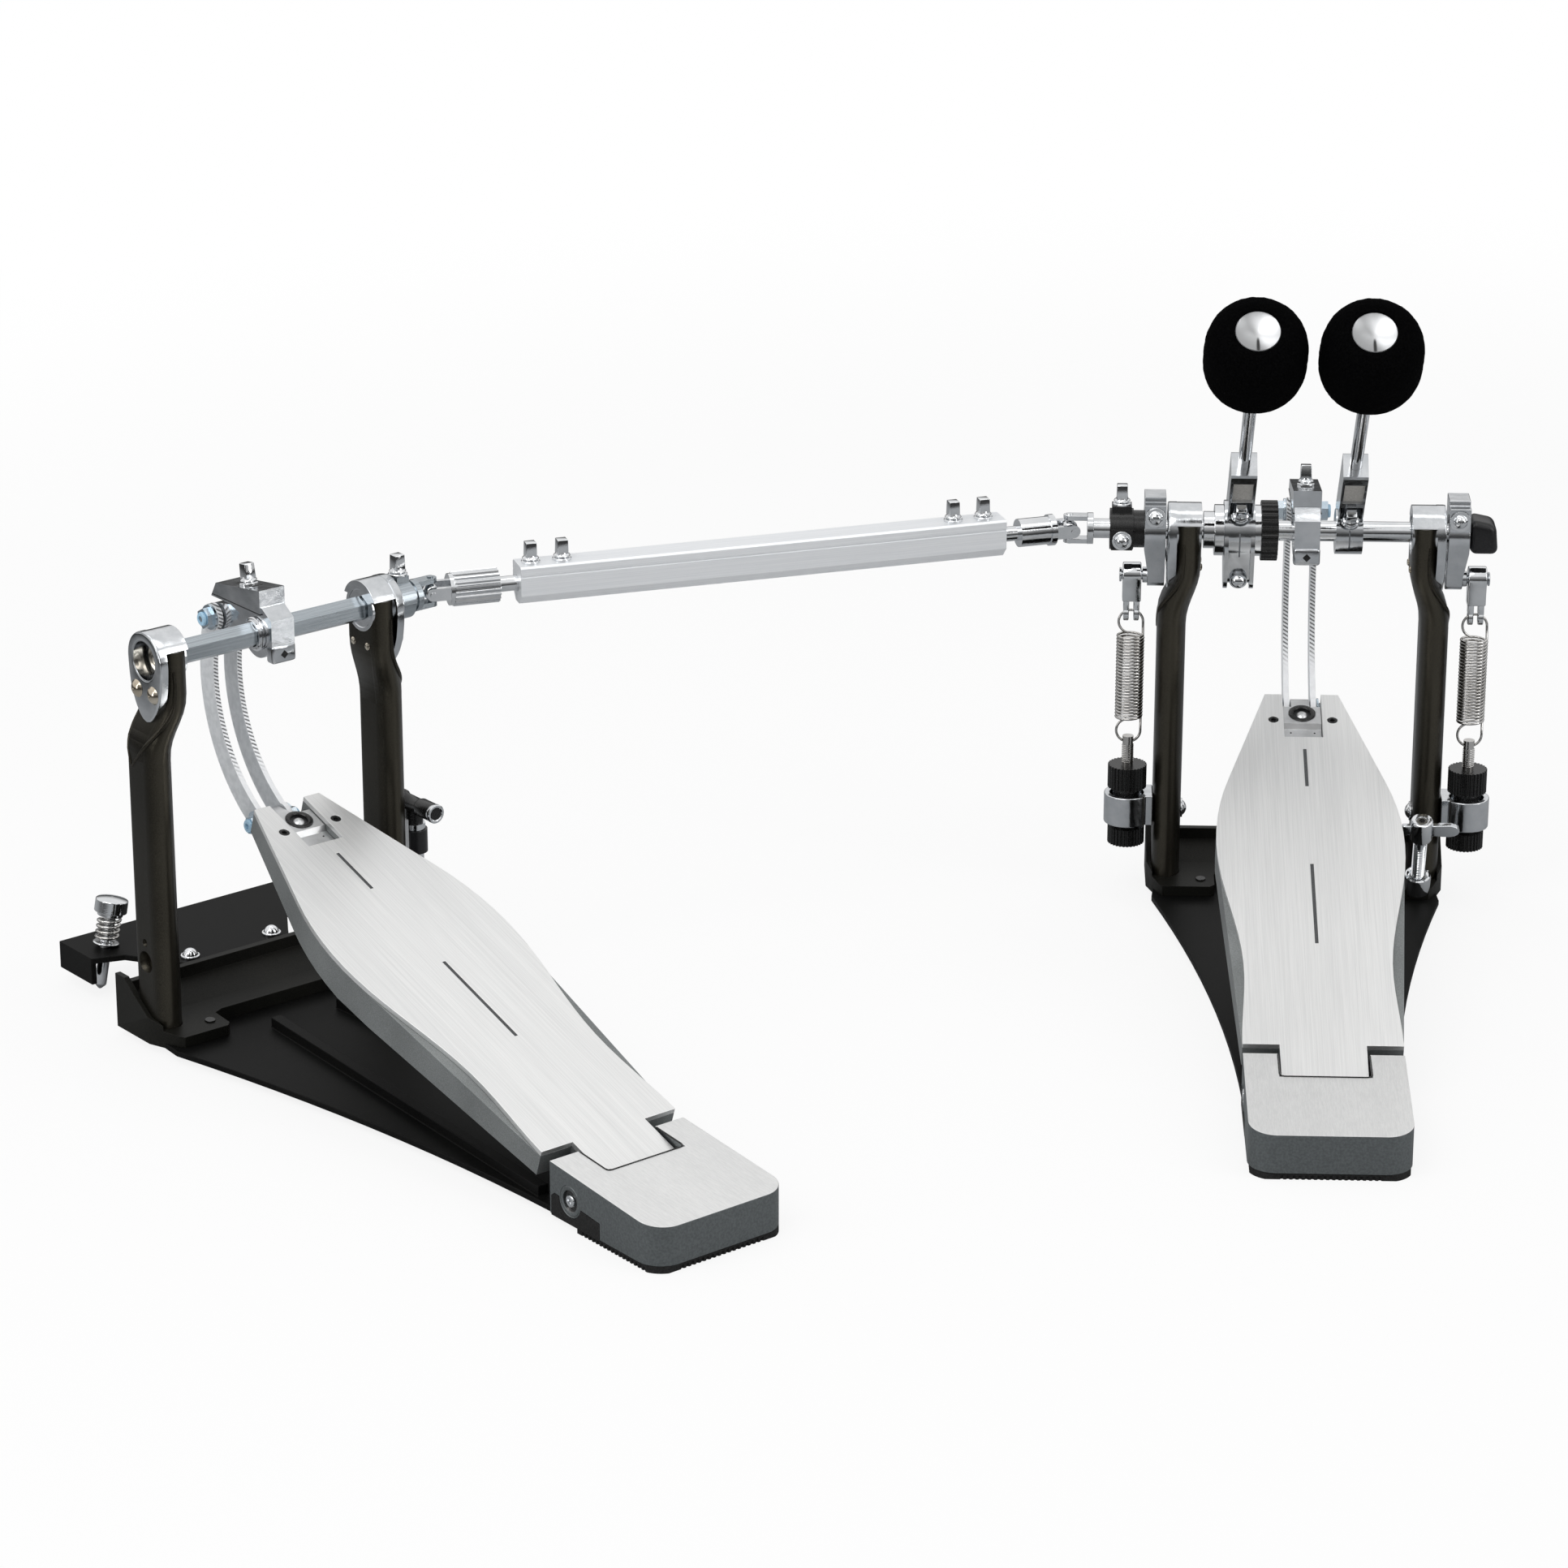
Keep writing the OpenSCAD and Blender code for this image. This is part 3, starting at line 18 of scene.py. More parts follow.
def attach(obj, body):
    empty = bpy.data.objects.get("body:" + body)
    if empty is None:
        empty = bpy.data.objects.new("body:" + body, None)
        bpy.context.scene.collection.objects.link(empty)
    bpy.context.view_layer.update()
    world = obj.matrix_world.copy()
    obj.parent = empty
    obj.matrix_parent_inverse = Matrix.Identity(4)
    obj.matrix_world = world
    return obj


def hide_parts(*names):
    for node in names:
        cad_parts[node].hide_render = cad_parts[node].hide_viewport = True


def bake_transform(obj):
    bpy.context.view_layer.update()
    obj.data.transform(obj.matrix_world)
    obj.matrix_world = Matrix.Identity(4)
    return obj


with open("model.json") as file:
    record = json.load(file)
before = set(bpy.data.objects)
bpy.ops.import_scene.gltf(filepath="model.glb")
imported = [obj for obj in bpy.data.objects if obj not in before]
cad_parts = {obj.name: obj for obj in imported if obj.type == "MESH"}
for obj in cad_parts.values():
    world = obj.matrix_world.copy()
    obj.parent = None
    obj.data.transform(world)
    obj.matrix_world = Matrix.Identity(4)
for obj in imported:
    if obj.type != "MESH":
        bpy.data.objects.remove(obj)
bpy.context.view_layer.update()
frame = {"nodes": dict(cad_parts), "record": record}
nodes = frame["nodes"]
record = frame["record"]
body_of = {n: body for body, members in record["behaviour"]["bodies"].items() for n in members}
slot_of = {s["node"]: s["material_slot"] for s in record["subparts"]}

# %% [markdown]
# ## Places that come back
# A few places are used again and again: the shaft's height, the slave pedal's
# own frame, which is turned towards the second foot, the tilted frame of a
# footboard and the leaning frame of a beater. They are the CAD part's driving
# sizes. Small pieces are drawn in millimetres in such a frame, as on a
# drawing, and one matrix then takes them to their place in metres. The left
# half of a pedal is the right one in a mirror, so a flip is kept too.

# %% Places
MM = 0.001
QUARTER = math.pi / 2
SHAFT_Z = 199
BOARD_TILT = math.radians(18)
BEATER_LEAN = math.radians(44)
LINK_YAW = math.radians(19.9)  # of the telescopic shaft
SLAVE_TURN = math.radians(41.15)
HUB_X = {"right": 21.4, "left": -34}
SPRING_X = 87.5
HINGE_Y = -288.7
KEY_X = 84.55  # where the drum key hangs on the slave
JOINT_X = -119.7  # the middle of the main pedal's universal joint
LINK_LENGTH = 334  # from joint to joint
SLAVE_REACH = 95  # from the slave pedal's middle to its joint

def at(x, y, z):
    return Matrix.Translation((x, y, z))

def about(axis, angle):
    return Matrix.Rotation(angle, 4, axis)

joint = Vector((JOINT_X, 0, SHAFT_Z))
tube_way = Vector((-math.cos(LINK_YAW), -math.sin(LINK_YAW), 0))
slave_way = Vector((math.cos(SLAVE_TURN), math.sin(SLAVE_TURN), 0))
slave_at = joint + LINK_LENGTH * tube_way - SLAVE_REACH * slave_way
MAIN = Matrix.Scale(MM, 4)
SLAVE = MAIN @ at(slave_at.x, slave_at.y, 0) @ about("Z", SLAVE_TURN)
PEDALS = (("main", MAIN), ("slave", SLAVE))
CAM_BODY = {"main": "right_shaft", "slave": "slave_axle"}
IN_PLACE = Matrix.Identity(4)
FLIP = Matrix.Scale(-1, 4, (1, 0, 0))
SIDES = (("right", IN_PLACE), ("left", FLIP))
SHAFT = at(0, 0, SHAFT_Z)
BOARD = at(0, HINGE_Y, 24.6) @ about("X", BOARD_TILT)
HUB = {side: MAIN @ at(x, 0, SHAFT_Z) @ about("X", BEATER_LEAN) for side, x in HUB_X.items()}
BEATER = {side: hub @ at(0, 7, 0) for side, hub in HUB.items()}
print("slave pedal at", [round(v, 1) for v in slave_at], "mm")

# %% [markdown]
# ## Camera
# The photograph was taken with a long lens from above the player's side. Such
# a lens keeps the two pedals' sizes alike. Its place and angle were solved
# from the edges of both footboards, because straight machined edges give the
# firmest lines to solve from.

# %% Camera
FOCAL_PIXELS = 6490.18
PHOTO_WIDTH = 1932
SENSOR = 36
CAMERA_AT = (-0.16152, -2.55306, 1.02050)
CAMERA_DOWN, CAMERA_YAW = 20.645, 2.318

def place_camera():
    lens = bpy.data.cameras.new("camera")
    lens.sensor_width = SENSOR
    lens.lens = FOCAL_PIXELS / PHOTO_WIDTH * SENSOR
    lens.clip_start = 0.1
    lens.clip_end = 60
    camera = bpy.data.objects.new("camera", lens)
    bpy.context.scene.collection.objects.link(camera)
    camera.location = CAMERA_AT
    camera.rotation_euler = (math.radians(90 - CAMERA_DOWN), 0, math.radians(CAMERA_YAW))
    bpy.context.scene.camera = camera
    return camera

print("lens", round(place_camera().data.lens, 1), "mm")

# %% [markdown]
# ## Shader maths as plain expressions
# A material is a small program. Wiring its nodes by hand hides what it
# computes, so this class wraps a socket and overloads the operators: a + b
# adds a Math node, and 1 - mask works as it reads. Colours and directions go
# through Mix and Vector Math, because a Math node would turn them grey.

# %% A socket that does arithmetic
class Wire:
    def __init__(self, tree, socket):
        self.tree, self.socket = tree, socket

    def node(self, kind, settings=None, outlet=0, **values):
        """A new node. Its inlets are given by their names, or by number as i0, i1."""
        node = self.tree.nodes.new("ShaderNode" + kind)
        for name, value in (settings or {}).items():
            setattr(node, name, value)
        for name, value in values.items():
            key = int(name[1:]) if name[0] == "i" and name[1:].isdigit() else name.replace("_", " ")
            inlet = node.inputs[key]
            if isinstance(value, Wire):
                self.tree.links.new(value.socket, inlet)
            else:
                inlet.default_value = value
        return Wire(self.tree, node.outputs[outlet])

    def math(self, operation, other=0.0):
        return self.node("Math", {"operation": operation}, i0=self, i1=other)

    def __add__(self, other): return self.math("ADD", other)
    def __sub__(self, other): return self.math("SUBTRACT", other)
    def __mul__(self, other): return self.math("MULTIPLY", other)
    def __radd__(self, other): return self.math("ADD", other)
    def __rmul__(self, other): return self.math("MULTIPLY", other)
    def __rsub__(self, other): return self.node("Math", {"operation": "SUBTRACT"}, i0=other, i1=self)

    def between(self, low, high):
        """0 below low, 1 above high, smooth between them."""
        settings = {"interpolation_type": "SMOOTHSTEP"}
        return self.node("MapRange", settings, Value=self, From_Min=low, From_Max=high)

    def mix(self, dark, light):
        """The colour dark where this is 0, light where it is 1."""
        def shade(c):
            return c if isinstance(c, Wire) else (*c, 1)
        settings = {"data_type": "RGBA"}
        return self.node("Mix", settings, outlet=2, i0=self, i6=shade(dark), i7=shade(light))

    def part(self, axis):
        return self.node("SeparateXYZ", outlet="XYZ".index(axis), Vector=self)

    def towards(self, way):
        """How far this vector reaches in a direction."""
        return self.node("VectorMath", {"operation": "DOT_PRODUCT"}, outlet=1, i0=self, i1=tuple(way))

# %% [markdown]
# ## Finishes
# Each finish starts from one Principled shader. What is the same all over
# is set on its sockets, and what changes over the surface is an expression
# of the object's coordinates, which don't slide when a piece moves. A fine
# bump breaks the reflection as the real tool marks do. Each recipe below
# starts with the material, the place on the object and the way it faces.

# %% Start of a finish
FINISHES = {}

def finish(name, color, metallic=0.0, roughness=0.5, specular=0.5):
    material = bpy.data.materials.new(name)
    material.use_nodes = True
    tree = material.node_tree
    shader = tree.nodes["Principled BSDF"]
    shader.inputs["Base Color"].default_value = (*color, 1)
    shader.inputs["Metallic"].default_value = metallic
    shader.inputs["Roughness"].default_value = roughness
    shader.inputs["Specular IOR Level"].default_value = specular
    spot = tree.nodes.new("ShaderNodeTexCoord")
    FINISHES[name] = material
    return material, Wire(tree, spot.outputs["Object"]), Wire(tree, spot.outputs["Normal"])

def feed(material, inlet, wire):
    tree = material.node_tree
    tree.links.new(wire.socket, tree.nodes["Principled BSDF"].inputs[inlet])

def bump(material, height, depth, strength=1.0):
    normal = height.node("Bump", Height=height, Distance=depth, Strength=strength)
    feed(material, "Normal", normal)

def noise(where, scale, detail=3.0, rough=0.5):
    return where.node("TexNoise", Vector=where, Scale=scale, Detail=detail, Roughness=rough)

def turned(where, angles=(0, 0, 0), scale=(1, 1, 1)):
    """Coordinates turned into a piece's own directions, then stretched."""
    straight = where.node("Mapping", {"vector_type": "POINT"}, Vector=where, Rotation=angles)
    return straight.node("Mapping", {"vector_type": "POINT"}, Vector=straight, Scale=scale)

# %% [markdown]
# ### Brushed aluminium
# The tread plates and heel blocks are brushed lengthwise with a belt. The belt
# leaves long scratches of many widths, so three noises are stretched along the
# grain: a broad one for the slow change of tone, a middle one for the visible
# lines, and a fine one that only roughens. Each pedal's grain follows its own
# direction, so the coordinates are first turned into that pedal's frame.
# The heel block's sides are left satin and darker, and a mask on the surface's
# normal tells its top from its sides.

# %% Brushed aluminium
def brushed(name, turn, tilt, side=None):
    light, dark = (0.84, 0.84, 0.832), (0.72, 0.722, 0.718)
    material, here, facing = finish(name, light, metallic=0.85, roughness=0.36)
    level = turned(here, (0, 0, -turn))

    def scratches(across, lengthwise, detail, rough):
        stretched = turned(level, (-tilt, 0, 0), (across, lengthwise, across))
        return noise(stretched, 3.0, detail, rough)

    broad = scratches(16, 0.8, 2.0, 0.5)
    lines = scratches(420, 3, 4.0, 0.7)
    fine = scratches(1500, 10, 2.0, 0.6)
    color = (broad * 0.16 + lines * 0.50 + fine * 0.34).between(0.34, 0.66).mix(dark, light)
    rough = 0.31 + lines * 0.12
    if side:
        satin = noise(here, 900).between(0.3, 0.7).mix(side, tuple(c * 1.3 for c in side))
        top = facing.part("Z").between(0.75, 0.9)
        color = top.mix(satin, color)
        rough = rough + (1 - top) * 0.10
    feed(material, "Base Color", color)
    feed(material, "Roughness", rough)
    bump(material, lines * 0.6 + fine * 0.4, 0.00005, 0.5)

# %% [markdown]
# ### Coated castings and plates
# The crossbars and base plates are black with a leathery coat, the footboards'
# castings are grey, the beater hubs show raw zinc in their pockets, and the
# ridges below the housings have the uprights' dark bronze with its fine
# flakes. All come from one recipe: a coarse cloud for the tone and a fine
# grain for both colour and bump, with different sizes and gloss. Dark paints
# reflect little, so their specular level is lowered and the blacks stay deep.

# %% Coated castings and plates
def coated(name, dark, light, metallic, roughness, specular=0.3, size=2200):
    material, here, _ = finish(name, light, metallic, roughness, specular)
    cloud = noise(here, 22)
    speckle = noise(here, size, 2.0, 0.6)
    feed(material, "Base Color", (cloud * 0.35 + speckle * 0.65).between(0.36, 0.66).mix(dark, light))
    feed(material, "Roughness", roughness - 0.06 + cloud * 0.08 + speckle * 0.06)
    bump(material, speckle, 0.00006, 0.6)

# %% [markdown]
# ### Round-faced uprights
# The uprights are cast with a slightly round front, and their bronze coat is
# glossy, so each shows a light streak beside its middle and dark edges. A low
# crown in the bump bends the light so, and the same crown also lightens the
# base colour in the middle and darkens it at the edges: a painted highlight.
# It follows the upright's middle line, which comes nearer to the pedal's
# middle on its way up to the shaft.

# %% Round-faced uprights
POST_FOOT_X, POST_STEP = 0.0667, 0.0071  # the middle line at the foot, and how far it comes in
POST_BEND = (0.152, 0.180)  # the heights between which it comes in
POST_NARROW = 135  # 1 over half the upright's width

def crowned(name, world):
    material, here, _ = finish(name, (0.062, 0.056, 0.044), 0.85, 0.30, 0.3)
    outwards = (world.to_3x3() @ Vector((1, 0, 0))).normalized()
    aside = (here.towards(outwards) - world.translation.dot(outwards)).math("ABSOLUTE")
    middle = POST_FOOT_X - here.part("Z").between(*POST_BEND) * POST_STEP
    across = (aside - middle) * POST_NARROW
    crown_and_painted_sheen = 1 - across * across
    speckle = noise(here, 2600, 2.0, 0.6)
    # the crown also lightens the colour in the middle and darkens the edges: a painted highlight
    shade = (speckle * 0.5 + crown_and_painted_sheen * 0.35 + noise(here, 22) * 0.3).between(0.35, 0.85)
    feed(material, "Base Color", shade.mix((0.024, 0.022, 0.017), (0.075, 0.068, 0.053)))
    feed(material, "Roughness", 0.26 + speckle * 0.08)
    bump(material, crown_and_painted_sheen + speckle * 0.02, 0.0024)

# %% [markdown]
# ### Plated metal
# Chrome on polished steel is nearly a mirror; the cast cams, hubs and housings
# are plated too, but their skin is a little wavy from the mould. So a slow wave
# bends the reflection, fine pits soften it, and the roughness drifts, because
# a perfectly even mirror looks like plastic.

# %% Plated metal
def plated(name, dark, light, roughness, cloudy, wave=0.0, pit=0.00002):
    material, here, _ = finish(name, light, 1.0, roughness)
    cloud = noise(here, 60, 4.0, 0.6)
    pits = noise(here, 1800, 2.0)
    slow = noise(here, 140, 1.0)
    feed(material, "Base Color", cloud.between(0.35, 0.65).mix(dark, light))
    feed(material, "Roughness", roughness + (cloud - 0.5) * cloudy + pits * cloudy * 0.3)
    bump(material, slow * wave + pits * pit, 1.0)

# %% [markdown]
# ### Turned disc with painted reflection
# The cone at a beater's end is turned and polished, so it shows the room as
# wedges that meet in its middle. Here those wedges are painted reflection in
# the base colour. Which way the cone faces changes round its middle. How far
# it faces right and how far up pick the painted grey side or the painted light
# one, and a narrow wedge that faces up but not aside is painted dark.

# %% Turned disc with painted reflection
def disc_painted_reflection(name, axis):
    material, here, facing = finish(name, (0.6, 0.61, 0.62), 0.7, 0.34)
    up = (Vector((0, 0, 1)) - axis * axis.z).normalized()
    lift = facing.towards(up)
    across = facing.part("X")
    # painted reflection: the colour follows which way the surface faces
    side = (across * 0.8 + lift * 0.35).between(-0.10, 0.12)
    dark = lift.between(0.10, 0.24) * (1 - across.math("ABSOLUTE").between(0.015, 0.06))
    shade = side.mix((0.72, 0.73, 0.74), (0.36, 0.365, 0.37))
    fine = noise(here, 900, 2.0)
    feed(material, "Base Color", dark.mix(shade, (0.03, 0.03, 0.03)))
    feed(material, "Roughness", 0.30 + fine * 0.08)
    bump(material, fine, 0.00002, 0.5)

# %% [markdown]
# ### Drawn and machined metal
# The tube and the six-sided shaft carry straight lines from the die or the
# mill. The recipe is the brushed one with a single direction.

# %% Drawn metal
def drawn(name, turn, dark, light, metallic, roughness):
    material, here, _ = finish(name, light, metallic, roughness)
    lines = noise(turned(here, (0, 0, -turn), (6, 900, 900)), 3.0, 3.0, 0.6)
    feed(material, "Base Color", lines.between(0.3, 0.7).mix(dark, light))
    feed(material, "Roughness", roughness - 0.05 + lines * 0.1)
    bump(material, lines, 0.00003, 0.4)

# %% [markdown]
# ### Rolled edge of the link plates
# The two curved link plates are stamped, and their front edge carries a fine
# slanted knurl in its upper half, which sparkles in the light. A wave that
# runs slanted to the edge draws it, only where the surface faces forwards or
# backwards and only above the middle, because the sides are plain satin. The
# knurl's grooves are bumped, and also painted dark as their shade.

# %% Link plates
KNURL_UP, KNURL_ACROSS = 3400, 1900  # how fast the wave turns along Z and X, in radians a metre

def edged(name, turn, dark, light):
    material, here, facing = finish(name, (0.94, 0.95, 0.965), 0.15, 0.36)
    level = turned(here, (0, 0, -turn))
    side = turned(facing, (0, 0, -turn)).part("X").math("ABSOLUTE")
    edge = (1 - side).between(0.55, 0.8) * here.part("Z").between(0.118, 0.132)
    weave = (here.part("Z") * KNURL_UP + level.part("X") * KNURL_ACROSS).math("SINE")
    speckle = noise(here, 1500, 3.0, 0.7)
    # the knurl's grooves are painted dark: painted shade
    knurl_groove_shade = edge * (weave * 0.5 + speckle).between(0.35, 0.9)
    cloud = noise(here, 300)
    patches = cloud.between(0.3, 0.7)
    rim = patches.mix((0.90, 0.91, 0.93), (0.96, 0.97, 0.985))
    plain = side.between(0.5, 0.8).mix(rim, patches.mix(dark, light))
    feed(material, "Base Color", knurl_groove_shade.mix(plain, (0.13, 0.135, 0.14)))
    feed(material, "Roughness", 0.38 - edge * 0.10 + cloud * 0.06)
    bump(material, edge * weave, 0.0001, 0.5)

# %% [markdown]
# ### Felt, rubber and plastic
# The beaters are covered in black flock: light dies in it, apart from a faint
# sheen at grazing angles. Rubber and plastic are only finely grained.

# %% Felt, rubber and plastic
def flocked(name):
    material, here, _ = finish(name, (0.002, 0.002, 0.002), 0.0, 0.95, 0.015)
    tufts = noise(here, 900, 4.0, 0.7)
    fibre = noise(here, 4200, 2.0, 0.6)
    pile = (tufts * 0.6 + fibre * 0.4).between(0.35, 0.75)
    feed(material, "Base Color", pile.mix((0.0006, 0.0006, 0.0007), (0.0035, 0.0035, 0.0037)))
    bump(material, tufts * 0.5 + fibre * 0.5, 0.0004, 0.8)

def moulded(name, dark, light, roughness, specular=0.4, size=1500, depth=0.00005):
    material, here, _ = finish(name, light, 0.0, roughness, specular)
    speckle = noise(here, size, 3.0, 0.6)
    feed(material, "Base Color", speckle.between(0.3, 0.7).mix(dark, light))
    feed(material, "Roughness", roughness - 0.06 + speckle * 0.12)
    bump(material, speckle, depth, 0.5)

# %% The finishes of this pedal
SATIN_SIDE = (0.138, 0.150, 0.153)
DISC_AXIS = (BEATER["right"].to_3x3() @ Vector((0, 0, 1))).normalized()
brushed("main_tread", 0, BOARD_TILT)
brushed("slave_tread", SLAVE_TURN, BOARD_TILT)
brushed("main_heel", 0, 0, SATIN_SIDE)
brushed("slave_heel", SLAVE_TURN, 0, SATIN_SIDE)
coated("board_casting", (0.17, 0.18, 0.18), (0.27, 0.285, 0.285), 0.6, 0.40)
coated("bronze", (0.024, 0.022, 0.017), (0.062, 0.056, 0.044), 0.85, 0.27, 0.25, 2600)
coated("dark_casting", (0.007, 0.007, 0.006), (0.015, 0.0145, 0.012), 0.2, 0.42, 0.12, 1800)
coated("black_coat", (0.003, 0.003, 0.003), (0.008, 0.008, 0.0075), 0.0, 0.46, 0.07, 1500)
crowned("main_bronze", MAIN)
crowned("slave_bronze", SLAVE)
plated("chrome", (0.70, 0.715, 0.73), (0.80, 0.81, 0.825), 0.06, 0.04, 0.00003)
plated("nickel", (0.58, 0.60, 0.62), (0.70, 0.715, 0.735), 0.11, 0.08, 0.00014)
disc_painted_reflection("disc", DISC_AXIS)
plated("warm_steel", (0.56, 0.49, 0.39), (0.72, 0.66, 0.56), 0.16, 0.08, 0.00004)
coated("raw_zinc", (0.30, 0.29, 0.27), (0.46, 0.45, 0.43), 0.35, 0.42, 0.4, 1500)
plated("zinc_blue", (0.52, 0.62, 0.70), (0.68, 0.76, 0.82), 0.16, 0.08, 0.00003)
plated("satin_steel", (0.52, 0.525, 0.53), (0.66, 0.665, 0.67), 0.32, 0.12, 0.0, 0.00005)
plated("spring_wire", (0.50, 0.485, 0.465), (0.66, 0.65, 0.635), 0.16, 0.08)
drawn("tube", LINK_YAW, (0.82, 0.84, 0.865), (0.90, 0.915, 0.935), 0.5, 0.38)
drawn("shaft_steel", SLAVE_TURN, (0.34, 0.375, 0.40), (0.46, 0.50, 0.53), 1.0, 0.22)
edged("main_links", 0, (0.84, 0.86, 0.88), (0.92, 0.94, 0.96))
# the slave's plates take darker side colours than the main ones: painted shade
edged("slave_links", SLAVE_TURN, (0.56, 0.58, 0.60), (0.66, 0.68, 0.70))
flocked("felt")
moulded("rubber", (0.008, 0.008, 0.008), (0.02, 0.02, 0.02), 0.75, 0.2, 1200, 0.0001)
moulded("black_plastic", (0.006, 0.006, 0.007), (0.012, 0.012, 0.013), 0.30)
moulded("black_metal", (0.005, 0.005, 0.005), (0.011, 0.011, 0.011), 0.27)
moulded("blue_nylon", (0.30, 0.50, 0.66), (0.42, 0.62, 0.78), 0.30)
moulded("engraved", (0.045, 0.047, 0.05), (0.085, 0.087, 0.09), 0.5)
print("finishes", len(FINISHES))

# %% Which node has which finish
BY_SLOT = {
    "casting": "dark_casting", "posts": "bronze", "plate": "black_coat", "casting_grey": "board_casting",
    "chrome": "chrome", "nickel": "nickel", "steel": "satin_steel", "black_metal": "black_metal",
    "felt": "felt", "rubber": "rubber", "black_plastic": "black_plastic",
}
BY_NODE = {"link_tube": "tube", "slave_shaft": "shaft_steel"}
for pedal, world in PEDALS:
    for node, own in (("tread_plate", "tread"), ("heel_block", "heel"), ("posts", "bronze"),
                      ("link_plates", "links")):
        BY_NODE["%s_%s" % (pedal, node)] = "%s_%s" % (pedal, own)
finish_of = {n: FINISHES[BY_NODE.get(n) or BY_SLOT[slot_of[n]]] for n in nodes}

def dress(obj, *materials):
    if obj.data.materials:  # clearing also forgets which face has which finish
        obj.data.materials.clear()
    for material in materials:
        obj.data.materials.append(material)

for name, obj in nodes.items():
    dress(obj, finish_of[name])
print("dressed", len(nodes))

# %% [markdown]
# ## Softened edges
# Cast and machined parts never end in a knife edge: a small round catches
# the light along every border, and much of the real look lies in that line.
# The CAD meshes are loose triangles, so a copy is welded first, its flat
# faces are joined, and a Bevel modifier then rounds what is left. The copy
# is shown in its node's place and moves with the node's body. Cast pieces get
# a wide round, turned and stamped ones a narrow one, as they have on the real
# pedal. Faces in a given box can have a coat of their own, or be left out
# where a finer piece takes their place.

# %% Soften the edges of a node
def inside(frame_matrix, low, high):
    """A test for face centres in a box that is drawn in a frame of its own."""
    back = frame_matrix.inverted()
    def test(point):
        p = back @ point
        return all(a <= v <= b for a, v, b in zip(low, p, high))
    return test

def soften(name, width, coats=(), left_out=(), crease=32):
    source = nodes[name]
    mesh = bmesh.new()
    mesh.from_mesh(source.data)
    bmesh.ops.remove_doubles(mesh, verts=mesh.verts, dist=2e-6)
    gone = [f for f in mesh.faces if any(test(f.calc_center_median()) for test in left_out)]
    bmesh.ops.delete(mesh, geom=gone, context="FACES")
    bmesh.ops.dissolve_limit(mesh, angle_limit=math.radians(0.6), verts=mesh.verts, edges=mesh.edges)
    for face in mesh.faces:
        face.smooth = True
        middle = face.calc_center_median()
        for index, (test, coat) in enumerate(coats):
            if test(middle):
                face.material_index = index + 1
    for edge in mesh.edges:
        edge.smooth = len(edge.link_faces) == 2 and edge.calc_face_angle(0) < math.radians(crease)
    data = bpy.data.meshes.new(name + "_soft")
    mesh.to_mesh(data)
    mesh.free()
    piece = bpy.data.objects.new(name + "_soft", data)
    bpy.context.scene.collection.objects.link(piece)
    dress(piece, finish_of[name], *[FINISHES[coat] for test, coat in coats])
    rounding = piece.modifiers.new("rounding", "BEVEL")
    rounding.limit_method = "ANGLE"
    rounding.angle_limit = math.radians(crease)
    rounding.width = width * MM
    rounding.segments = 2
    rounding.use_clamp_overlap = True
    rounding.harden_normals = True
    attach(piece, body_of[name])
    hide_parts(name)
    return piece

# %% What is left out for a finer piece
CAM_SCREW = at(0, 15.3, 218.64) @ about("X", math.radians(-8.21))
TUBE = MAIN @ at(*joint) @ about("Z", 2 * QUARTER + LINK_YAW)
SCREW_TURN = about("X", math.radians(6))
SCREWS = {
    "tube_screws": [TUBE @ at(x, 0, 10) for x in (46.8, 62.8, 267, 283)],
    "left_clamp_screws": [MAIN @ at(-93.4, 0, 212), HUB["left"] @ at(0, -1.9, 18.95) @ SCREW_TURN],
    "right_clamp_screws": [MAIN @ CAM_SCREW, HUB["right"] @ at(0, -1.9, 15.15) @ SCREW_TURN],
    "slave_cam": [SLAVE @ CAM_SCREW],
    "slave_shaft": [SLAVE @ at(76, 0, 211.5)],
}
SCREW_BOX = ((-4.9, -4.9, 0.1), (4.9, 4.9, 11))
LEFT_OUT = {name: [inside(place, *SCREW_BOX) for place in places] for name, places in SCREWS.items()}
for pedal, world in PEDALS:
    LEFT_OUT[pedal + "_hinge_pin"] = [inside(world, (x, -294, 8), (x + 3, -283, 21)) for x in (36.52, -39.52)]
print("key screws left out of", len(SCREWS), "nodes")

# %% What has a coat of its own
WINDOW = ((-4.9, 0.2, 31.2), (4.9, 0.6, 49.8))

def painted(world, low, high, coat, both=False):
    """A coat for the faces in a box and, with both, in its mirror image across the pedal."""
    boxes = [(low, high)]
    if both:
        boxes.append(((-high[0], *low[1:]), (-low[0], *high[1:])))
    return [(inside(world, *box), coat) for box in boxes]

